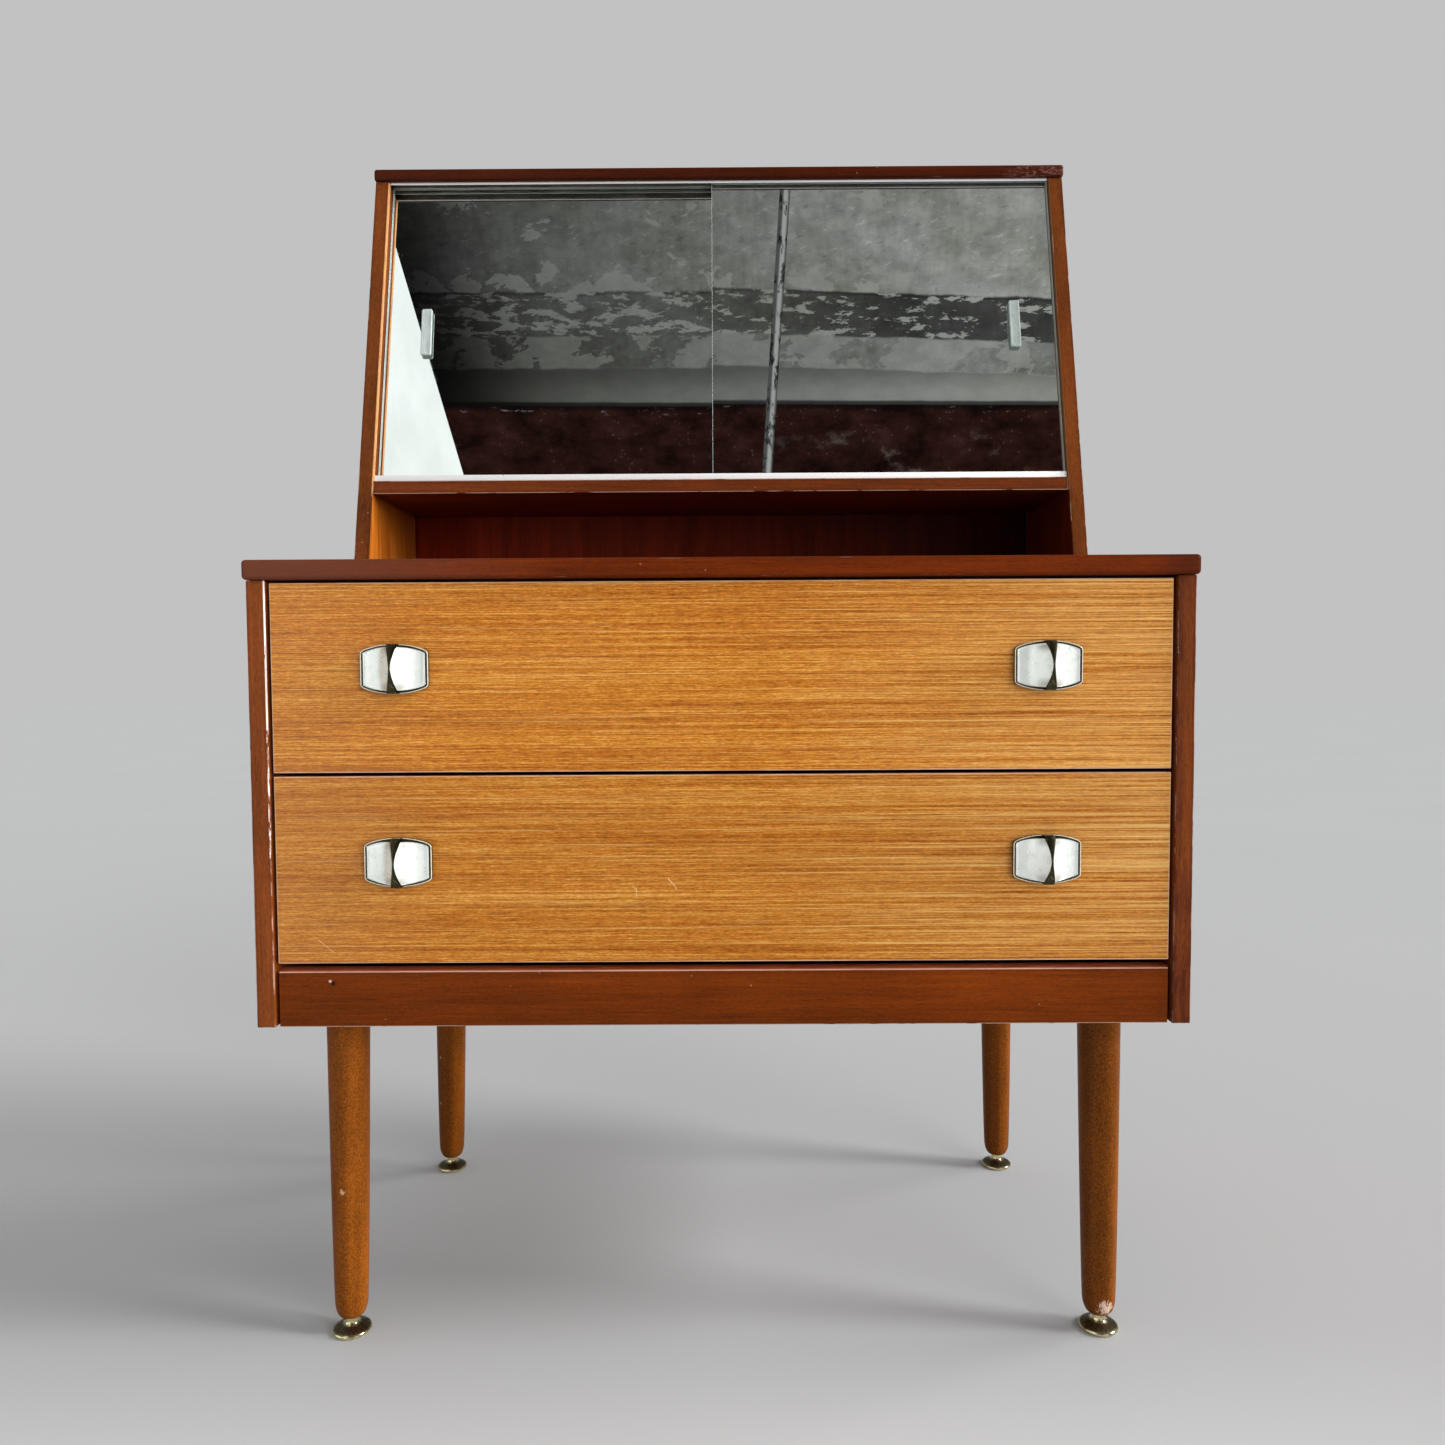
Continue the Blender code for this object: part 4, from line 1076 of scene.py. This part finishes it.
def rim_brass_material():
    """Plating worn bright on the rim's bead, partly a painted highlight, and black below it with dirt in the
    groove inside it and painted shade down the outer wall.
    """
    shader = Shader("rim brass")
    x, y, z = shader.axes()
    stain = shader.noise(shader.place, 500.0, 4.0, 0.65)
    uneven = (stain - 0.5) * 0.0010
    height = uneven - y
    # the bead's bright colour is partly a painted highlight; the dark colour below it is dirt and painted shade
    bead = height.spread(RIM_HEIGHT - 0.0007, RIM_HEIGHT - 0.0003)
    dirt = shader.ramp(stain, (0.35, (0.040, 0.034, 0.018)), (0.65, (0.100, 0.085, 0.045)))
    gilt_and_painted_highlight = shader.ramp(stain, (0.35, (0.88, 0.80, 0.56)), (0.60, (1.0, 0.97, 0.84)))
    shader.set(Base_Color=shader.mix(bead, dirt, gilt_and_painted_highlight), Metallic=0.40)
    shader.set(Roughness=bead.spread(0.0, 1.0, 0.45, 0.20))
    shader.bump(stain, 0.2, 0.00008)
    return shader.material


rim_brass = rim_brass_material()
web_brass = brass("web brass", (0.30, 0.26, 0.15), (0.055, 0.048, 0.026), 0.75, 8)

handle_screw_head = slotted_head("handle screw", 0.0040, 0.0022, 0.0010, 0.0010)
for level, drawer in enumerate(DRAWERS):
    for side, name in SIDES:
        suffix = drawer + "_" + name
        body = drawer + "_drawer"
        node = "handle_body_" + suffix
        low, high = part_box(node)
        seat = Vector(((low.x + high.x) / 2, high.y, (low.z + high.z) / 2))
        bead = rim_mesh("handle_rim_" + suffix)
        piece("handle_rim_" + suffix, bead, body, node, rim_brass, seat)
        web = web_mesh("handle_web_" + suffix)
        piece("handle_web_" + suffix, web, body, node, web_brass, seat, replace=False)
        for hand, part in ((-1, "a"), (1, "b")):
            node = "handle_liner_" + part + "_" + suffix
            seed = 3.0 * level + 1.7 * side + 0.9 * hand
            # painted shade on each right-hand liner, painted light on each left-hand one
            material = liner_metal("liner " + part + " " + suffix, seed, 0.93 if hand > 0 else 1.04)
            mesh = liner_mesh(node + "_sheet", hand)
            piece(node + "_sheet", mesh, body, node, material, seat)
        node = "handle_screw_" + suffix
        at = centre(node)
        head_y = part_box(drawer + "_drawer_front")[1].y + 0.0002
        spun = Matrix.Rotation(-math.pi / 2, 4, "X") @ Matrix.Rotation(0.7 * side + level, 4, "Z")
        shank = turned_mesh("shank", [(0, 0.0004), (0.0019, 0.0004), (0.0019, -0.02), (0, -0.02)], 20)
        mesh = joined(node + "_slotted", [(handle_screw_head, spun), (shank, spun)])
        piece(node + "_slotted", mesh, body, node, steel, (at.x, head_y, at.z))

# -------- tracks

TRACK_FACE = 0.0026  # front wall of the tracks behind the sides' slanted edges


def track_metal_material():
    """Aluminium track: bright where it faces out, darker down in the channels with grime and painted shade."""
    shader = Shader("track aluminium")
    x, y, z = shader.axes()
    rise = (z - CABINET[0].z) * LEAN
    behind = (y - CABINET[0].y - rise) * math.cos(SLANT)
    inner = behind.spread(TRACK_FACE + 0.0004, TRACK_FACE + 0.0014)
    drawn = shader.streaks("x", 6.0, 2200.0, 151, 3.0, 0.7)
    film = shader.streaks("x", 30.0, 160.0, 152, 4.0, 0.65)
    nicks = shader.streaks("x", 85.0, 240.0, 153, 3.0, 0.7)
    bright = shader.ramp(drawn, (0.35, (0.95, 0.95, 0.93)), (0.60, (1.0, 1.0, 0.99)))
    bright = shader.mix(nicks.spread(0.68, 0.73) * 0.75, bright, (0.20, 0.17, 0.13))
    # grime and painted shade down in the channels
    darkening = shader.ramp(film, (0.35, (0.16, 0.155, 0.130)), (0.65, (0.30, 0.295, 0.260)))
    shader.set(Base_Color=shader.mix(inner, bright, darkening))
    shader.set(Metallic=inner.spread(0.0, 1.0, 0.04, 0.55))
    shader.set(Roughness=0.30 + film * 0.16, Specular_IOR_Level=0.9)
    shader.bump(drawn + film, 0.10, 0.00006)
    return shader.material


track_metal = track_metal_material()


def track_mesh(node, name, softness=0.00028):
    """The extruded track, drawn again from its own section with softened edges."""
    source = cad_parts[node].data
    mesh = bmesh.new()
    mesh.from_mesh(source)
    bmesh.ops.remove_doubles(mesh, verts=mesh.verts, dist=1e-6)
    bmesh.ops.dissolve_limit(mesh, angle_limit=math.radians(1.0), verts=mesh.verts, edges=mesh.edges)
    sharp = [edge for edge in mesh.edges if len(edge.link_faces) == 2 and edge.calc_face_angle() > 0.5]
    soft = {"segments": 2, "profile": 0.5, "affect": "EDGES", "clamp_overlap": True}
    bmesh.ops.bevel(mesh, geom=sharp, offset=softness, **soft)
    return made(name, mesh)


for node in ("track_bottom", "track_top"):
    name = "extruded_" + node
    piece(name, track_mesh(node, name), "carcass", node, track_metal)

# -------- mirror doors

PANE = 0.0040
PULL_SLANT = {"left": math.radians(-0.5), "right": math.radians(0.2)}  # stuck on by hand
PULL_TINT = {"left": (0.56, 0.64, 0.61), "right": (0.44, 0.51, 0.48)}
SILVER_DEPTH = 0.0026  # how deep the silvering seems to lie behind the glass's face
ARRIS = 0.0004  # width of the ground edge
PULL_THICKNESS = 0.0022
REPLACING = ("_silvering", "_strip")  # the meshes that stand for their CAD piece; the others go with them


def leaning_frame(node):
    """Matrix and size of a thin box that leans back with the cabinet's front: x along, y through, z up it."""
    low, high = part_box(node)
    size = high - low
    tilt = Matrix.Rotation(-SLANT, 4, "X")
    return Matrix.Translation((low + high) / 2) @ tilt, size


def leaned_size(size, thickness):
    """Length up the slope of a leaning box from its upright height."""
    return (size.z - thickness * math.sin(SLANT)) / math.cos(SLANT)


def backing_paint(side, name):
    """The brushed grey paint on a mirror's back."""
    shader = Shader("backing paint " + name)
    blotch = shader.noise(shader.place, 40.0, 4.0, 0.6)
    brushed = shader.streaks("z", 8.0, 300.0, 165 + side, 3.0)
    tone = blotch * 0.6 + brushed * 0.4
    shader.colour = shader.ramp(tone, (0.3, (0.10, 0.115, 0.12)), (0.7, (0.19, 0.205, 0.21)))
    rough = blotch.spread(0.3, 0.7, 0.45, 0.65)
    return shader.finished(Roughness=rough, Specular_IOR_Level=0.4, bump=(brushed, 0.2, 0.0001))


def pane_pieces(side, name):
    """A silvered pane (the mirror face, its painted back and its ground edge) and its finger pull."""
    body = "mirror_door_" + name

    def lay(ending, mesh, material, matrix):
        obj = piece(node + ending, mesh, body, node, material, replace=ending in REPLACING)
        obj.matrix_world = matrix

    node = "mirror_" + name
    matrix, size = leaning_frame(node)
    length = leaned_size(size, PANE)
    sheet = (size.x - 2 * ARRIS, 0.0006, length - 2 * ARRIS)
    silvering = silvered_glass("silvering " + name, 161 + side)
    for ending, material, depth in (
        ("_silvering", silvering, SILVER_DEPTH + 0.0003 - PANE / 2),
        ("_backing", backing_paint(side, name), PANE / 2 - 0.0003),
    ):
        mesh = box_mesh(node + ending, sheet, 0.00005, 1)
        lay(ending, mesh, material, matrix @ Matrix.Translation((0, depth, 0)))
    rails = []
    out = (size.x - ARRIS) / 2
    up = (length - ARRIS) / 2
    for wide, high, x, z in (
        (size.x, ARRIS, 0, up),
        (size.x, ARRIS, 0, -up),
        (ARRIS, length - 2 * ARRIS, out, 0),
        (ARRIS, length - 2 * ARRIS, -out, 0),
    ):
        rails.append((box_mesh("edge", (wide, PANE, high), 0.00010, 1), Matrix.Translation((x, 0, z))))
    edge = ground_glass("ground edge " + name, (0.42, 0.50, 0.47), 169 + side, 0.5)
    lay("_edge", joined(node + "_edge", rails), edge, matrix)

    node = "pull_" + name
    matrix, size = leaning_frame(node)
    length = leaned_size(size, PULL_THICKNESS)
    strip = pull_mesh(node + "_strip", size.x - 0.001, length - 0.0004, PULL_THICKNESS)
    frosted = ground_glass("frosted pull " + name, PULL_TINT[name], 173 + side)
    lay("_strip", strip, frosted, matrix @ Matrix.Rotation(PULL_SLANT[name], 4, "Y"))


def pull_mesh(name, width, length, thickness):
    """A glued-on finger strip with rounded corners, a polished chamfer and a slightly hollow face."""
    corner = 0.0022
    rows = []
    for inset, depth in (
        (0.0, 0.5),
        (0.0, -0.12),
        (0.0004, -0.40),
        (0.0009, -0.50),
        (0.0014, -0.47),
        (0.0024, -0.38),
    ):
        ring = []
        radius = max(corner - inset, 0.0003)
        for quadrant, (sx, sz) in enumerate(((1, 1), (-1, 1), (-1, -1), (1, -1))):
            for step in range(7):
                angle = math.pi / 2 * (quadrant + step / 6)
                x = sx * (width / 2 - inset - radius) + radius * math.cos(angle)
                z = sz * (length / 2 - inset - radius) + radius * math.sin(angle)
                ring.append((x, depth * thickness, z))
        rows.append(ring)
    return grid_mesh(name, rows, wrap=True, cap_start=True, cap_end=True, angle=30)


for side, name in SIDES:
    pane_pieces(side, name)

# -------- studio

GROUND = 0.539  # radiance of the pale ground that the camera sees
AMBIENT = 0.41  # radiance that lights the object from all round
SHEEN = 0.16  # radiance that glossy surfaces see


def stage_object(name, mesh, material, shadow=True):
    """A piece of the studio."""
    obj = placed(name, mesh)
    mesh.materials.append(material)
    if not shadow:
        obj.visible_camera = False
        obj.visible_shadow = False
        obj.visible_diffuse = False
        obj.visible_transmission = False
    return obj


def floor_material():
    """Pale matt studio floor, with painted light just in front of the object."""
    shader = Shader("studio floor")
    tone = shader.noise(shader.place, 1.3, 2.0)
    fine = shader.noise(shader.place, 60.0, 3.0)
    tone = tone * 0.8 + fine * 0.2
    grey = tone.spread(0.3, 0.7, 0.5200, 0.5300)
    x, y, z = shader.axes()
    # painted light: the floor is made lighter just in front of the object, less so towards the right
    near = y.spread(-0.12, -0.38, 0.0, 0.150) * y.spread(-1.6, -0.9) * x.spread(0.10, 0.75, 1.0, 0.45)
    grey = grey + near
    shader.set(Base_Color=shader.join(grey, grey * 1.006, grey * 1.014))
    shader.set(Roughness=0.9, Specular_IOR_Level=0.0)
    return shader.material


floor = bmesh.new()
bmesh.ops.create_grid(floor, x_segments=8, y_segments=8, size=60.0)
floor_mesh = bpy.data.meshes.new("floor")
floor.to_mesh(floor_mesh)
floor.free()
stage_object("floor", floor_mesh, floor_material())

world = bpy.data.worlds.new("studio")
world.use_nodes = True
nodes = world.node_tree.nodes
rays = nodes.new("ShaderNodeLightPath")
for_sheen = nodes.new("ShaderNodeMapRange")
for_light = nodes.new("ShaderNodeMapRange")
for_light.inputs["To Min"].default_value = AMBIENT
for_light.inputs["To Max"].default_value = GROUND
for_sheen.inputs["To Max"].default_value = SHEEN
for source, target in (
    (rays.outputs["Is Camera Ray"], for_light.inputs["Value"]),
    (for_light.outputs[0], for_sheen.inputs["To Min"]),
    (rays.outputs["Is Glossy Ray"], for_sheen.inputs["Value"]),
    (for_sheen.outputs[0], nodes["Background"].inputs["Strength"]),
):
    world.node_tree.links.new(source, target)
nodes["Background"].inputs["Color"].default_value = (1.0, 1.0, 1.0, 1.0)
bpy.context.scene.world = world


def sun(name, azimuth, elevation, strength, spread, glossy=False):
    """A far lamp, in degrees. Azimuth 0 shines from the front, 90 from the right."""
    lamp = bpy.data.lights.new(name, "SUN")
    lamp.energy = strength
    lamp.angle = math.radians(spread)
    obj = placed(name, lamp)
    turn = math.radians(azimuth)
    rise = math.radians(elevation)
    towards = Vector((math.sin(turn) * math.cos(rise), -math.cos(turn) * math.cos(rise), math.sin(rise)))
    obj.rotation_euler = towards.to_track_quat("Z", "Y").to_euler()
    obj.visible_glossy = glossy


sun("key", 80, 31, 1.65, 14, glossy=True)
sun("rim", 104, 24, 1.10, 26)
sun("low side", 85, 7, 2.20, 14)
sun("fill", 42, 15, 1.40, 40)

# The overhead card that the mirrors see, turned to face them
CARD_MIDDLE = Vector((0.007, -1.319, 2.349))
CARD_ELEVATION = math.radians(44.2)
CARD_OUTLINE = ((-1.9, -0.95), (1.9, -0.95), (1.9, 0.95), (-1.9, 0.95))
SLOPE_OUTLINE = ((-0.778, -0.386), (-0.906, 0.222), (-1.20, 0.90), (-1.8, 0.90), (-1.8, -0.95), (-0.66, -0.95))
PIPE_OUTLINE = ((0.117, -0.41), (0.146, -0.41), (0.196, 0.50), (0.167, 0.50))
WING_OUTLINE = ((-2.1, -0.05), (-0.4, -0.05), (-0.4, 1.6), (-2.1, 1.6))
UPRIGHT = Matrix.Rotation(math.pi / 2, 4, "X")


def glow(shader, colour, strength=1.0):
    """Makes a shader a plain light source."""
    emission = shader.tree.nodes.new("ShaderNodeEmission")
    shader.feed(emission.inputs["Color"], colour)
    emission.inputs["Strength"].default_value = strength
    output = shader.tree.nodes["Material Output"]
    shader.tree.links.new(emission.outputs[0], output.inputs["Surface"])
    return shader.material


def plaster_material():
    """Old peeling plaster, in the card's own plane: x across, y up. From the top: mottled render, a strip of
    torn pale patches, a pale ledge, a smooth shaded cove, and a dark red wall below."""
    shader = Shader("mottled card")
    x, y, z = shader.axes()
    slope = shader.math("MAXIMUM", x, 0.0) * 0.036
    wobble = (shader.noise(shader.place, 9.0, 4.0) - 0.5) * 0.018
    level = y + slope + wobble
    sharp = 0.004

    def above(height):
        return level.spread(height - sharp, height + sharp)

    broad = shader.noise(shader.place * (1.0, 1.6, 1.0), 2.2, 3.0, 0.55)
    mottle = shader.noise(shader.place * (1.0, 1.5, 1.0), 14.0, 6.0, 0.65)
    scraped = shader.noise(shader.place * (5.0, 1.2, 1.0), 9.0, 4.0, 0.6)
    light = x.spread(-0.85, 0.80, 0.034, 0.288, smooth=False) * x.spread(-0.98, -0.55, 0.55, 1.0)
    texture = broad.spread(0.30, 0.70, 0.80, 1.18) * mottle.spread(0.30, 0.70, 0.80, 1.20)
    texture = texture * scraped.spread(0.30, 0.70, 0.92, 1.08)
    run = x * 24.0 + y * 9.0
    climb = y * 70.0 - x * 22.0
    strokes = shader.noise(shader.join(run, climb, z), 1.0, 3.0, 0.6)
    texture = texture * strokes.spread(0.28, 0.42, 0.72, 1.0) * strokes.spread(0.60, 0.70, 1.0, 1.38)
    upper = light * texture

    strip = above(-0.010) * (1.0 - above(0.108))
    ledge = above(-0.096) * (1.0 - above(-0.010))
    cove = 1.0 - above(-0.096)
    along = shader.place * (1.0, 3.2, 1.0)
    torn = shader.noise(along, 10.0, 9.0, 0.70, 0.20)
    torn_ledge = shader.noise(shader.place * (1.0, 1.5, 1.0), 5.0, 8.0, 0.6, 0.2)
    flakes = shader.noise(shader.place * (1.0, 1.5, 1.0), 8.5, 8.0, 0.62, 0.3)
    cover = x.spread(-0.60, 0.45, -0.012, 0.038, smooth=False)
    torn = torn - cover
    patches = strip * torn.spread(0.515, 0.530) + ledge * (torn_ledge - cover).spread(0.465, 0.480, 0.0, 0.60)
    high_up = level.spread(0.24, 0.36, 0.0, 0.07)
    low_down = level.spread(0.23, 0.12, 0.0, 0.125)
    flakes = flakes + (high_up + low_down)
    sparse = above(0.108) * flakes.spread(0.625, 0.640)
    chips = shader.noise(shader.place * (1.0, 2.4, 1.0), 30.0, 5.0, 0.70)
    chips = above(0.108) * chips.spread(0.612, 0.640, 0.0, 0.55)
    sparse = shader.math("MAXIMUM", sparse, chips)
    patches = shader.math("ADD", patches, sparse, clamp=True)
    left_end = x.spread(-0.86, -0.55, 0.15, 1.0)
    patches = patches * left_end

    base = upper * (1.0 - strip * x.spread(-0.3, 0.6, 0.42, 0.84)) * (1.0 - ledge * 0.38)
    rounded = light * y.spread(-0.10, -0.185, 0.50, 0.92) * mottle.spread(0.3, 0.7, 0.92, 1.08)
    base = base * above(-0.096) + rounded * cove
    peel_light = mottle.spread(0.30, 0.70, 0.88, 1.08) * x.spread(-0.70, 0.80, 0.135, 0.310, smooth=False)
    rim_line = above(0.100) * (1.0 - above(0.108))
    base = base * (1.0 - rim_line * 0.35)
    tone = base + patches * (peel_light - base)
    # painted shade: the card darkens towards its lower left, round the bright slope
    corner = x + y * 0.55
    tone = tone * corner.spread(-0.93, -0.48, 0.18, 1.0)
    warm = tone * broad.spread(0.35, 0.65, 0.90, 0.98)
    shader.colour = shader.join(tone, tone * 1.01, warm)

    stain = shader.noise(shader.place * (1.0, 1.5, 1.0), 8.0, 6.0, 0.7)
    reds = (0.36, (0.007, 0.003, 0.002)), (0.58, (0.027, 0.0095, 0.0075)), (0.75, (0.048, 0.022, 0.018))
    skirting = shader.ramp(stain, *reds)
    dots = shader.cells(shader.place, 58.0)
    dots = dots.spread(0.22, 0.08) * stain.spread(0.46, 0.60)
    near_left = x.spread(-0.80, -0.45)
    skirting = shader.mix(dots * (near_left * 0.5), skirting, (0.12, 0.09, 0.08))
    blooms = shader.noise(shader.place * (1.0, 1.3, 1.0), 6.5, 6.0, 0.65)
    bloom_place = x.spread(0.10, 0.30) * y.spread(-0.27, -0.31)
    blooms = blooms.spread(0.56, 0.74) * bloom_place
    skirting = shader.mix(blooms * 0.75, skirting, (0.17, 0.14, 0.12))
    edge_y = y + x * 0.009 + wobble * 0.3
    crack = edge_y.spread(-0.226, -0.205) * edge_y.spread(-0.190, -0.197)
    below = edge_y.spread(-0.201, -0.207)
    shader.coat(below, skirting)
    shader.coat(crack * 0.85, (0.003, 0.003, 0.003))
    chalk = shader.noise(shader.place * (1.0, 4.0, 1.0), 16.0, 5.0, 0.7)
    chalk = chalk.spread(0.60, 0.66) * edge_y.spread(-0.232, -0.222) * edge_y.spread(-0.206, -0.214)
    shader.coat(chalk * 0.5, (0.28, 0.27, 0.25))
    return glow(shader, shader.colour)


def hang(name, outline, material, matrix):
    """A flat card of this outline that only glossy rays see."""
    mesh = bpy.data.meshes.new(name)
    mesh.from_pydata([(x, y, 0.0) for x, y in outline], [], [tuple(range(len(outline)))])
    stage_object(name, mesh, material, shadow=False).matrix_world = matrix


card_up = Vector((0, math.sin(CARD_ELEVATION), math.cos(CARD_ELEVATION)))
card_away = Vector((1, 0, 0)).cross(card_up)
card_turn = Matrix((Vector((1, 0, 0)), card_up, card_away)).transposed().to_4x4()
card_matrix = Matrix.Translation(CARD_MIDDLE) @ card_turn
hang("overhead_card", CARD_OUTLINE, plaster_material(), card_matrix)


def in_front_of_card(gap):
    """Matrix of something that hangs a little in front of the overhead card."""
    return card_matrix @ Matrix.Translation((0, 0, -gap))


bright = Shader("bright slope")
streaks = bright.noise(bright.place * (3.0, 1.2, 1.0), 4.0, 4.0, 0.6)
slope_colour = bright.ramp(streaks, (0.35, (0.93, 0.99, 0.96)), (0.65, (1.04, 1.10, 1.07)))
hang("bright_slope", SLOPE_OUTLINE, glow(bright, slope_colour), in_front_of_card(0.004))

pipe = Shader("thin pipe")
px, py, pz = pipe.axes()
across = px - (0.154 + py * 0.055)
knots = pipe.noise(pipe.place * (55.0, 20.0, 1.0), 1.0, 4.0, 0.7)
round_light = abs(across - 0.0035).spread(0.0095, 0.003, 0.22, 1.0)
pipe_tone = round_light * knots.spread(0.40, 0.50, 0.05, 0.34)
pipe_colour = pipe.join(pipe_tone, pipe_tone * 1.03, pipe_tone)
hang("thin_pipe", PIPE_OUTLINE, glow(pipe, pipe_colour), in_front_of_card(0.006))


def side_card(name, inner, outer, colour, strength):
    """A softbox out in front that only glossy surfaces see, fading out towards the middle."""
    shader = Shader(name)
    x, y, z = shader.axes()
    fade = x.spread(inner, inner + (outer - inner) * 0.45)
    uneven = shader.noise(shader.place, 1.1, 2.0).spread(0.3, 0.7, 0.88, 1.06)
    level = fade * uneven * strength
    tinted = colour * shader.grey(level)
    low, high = -0.05, 1.5
    outline = ((inner, low), (outer, low), (outer, high), (inner, high))
    hang(name, outline, glow(shader, tinted), Matrix.Translation((0, CASE[0].y - 2.1, 0)) @ UPRIGHT)


side_card("left_card", -0.30, -2.4, (0.97, 1.0, 0.97), 1.48)
side_card("right_card", 0.35, 2.4, (1.0, 0.98, 0.94), 0.80)
wing = Shader("left wing")
wing_tone = wing.noise(wing.place, 1.2, 2.0)
wing_colour = wing.ramp(wing_tone, (0.3, (1.10, 1.20, 1.17)), (0.7, (1.28, 1.38, 1.35)))
facing_right = Matrix.Rotation(math.pi / 2, 4, "Z") @ UPRIGHT
hang("left_wing", WING_OUTLINE, glow(wing, wing_colour), Matrix.Translation((-2.4, 0, 0)) @ facing_right)

# -------- camera

EYE = Vector((0.00027, CASE[0].y - 0.8534, 0.55974))  # 0.8534 in front of the case's front edge
EYE_TURN = 0.002606  # radians to the left
EYE_DROP = 0.047817  # radians below level
EYE_ROLL = -0.005753

camera = bpy.data.cameras.new("camera")
camera.lens = 26.408
camera.sensor_width = 36.0
camera.shift_x = 0.00225
camera.shift_y = 0.01437
camera.clip_start = 0.01
eye = placed("camera", camera)
eye.matrix_world = (
    Matrix.Translation(EYE)
    @ Matrix.Rotation(EYE_TURN, 4, "Z")
    @ Matrix.Rotation(math.pi / 2 - EYE_DROP, 4, "X")
    @ Matrix.Rotation(EYE_ROLL, 4, "Z")
)
bpy.context.scene.camera = eye
bpy.context.scene.view_settings.view_transform = "Standard"
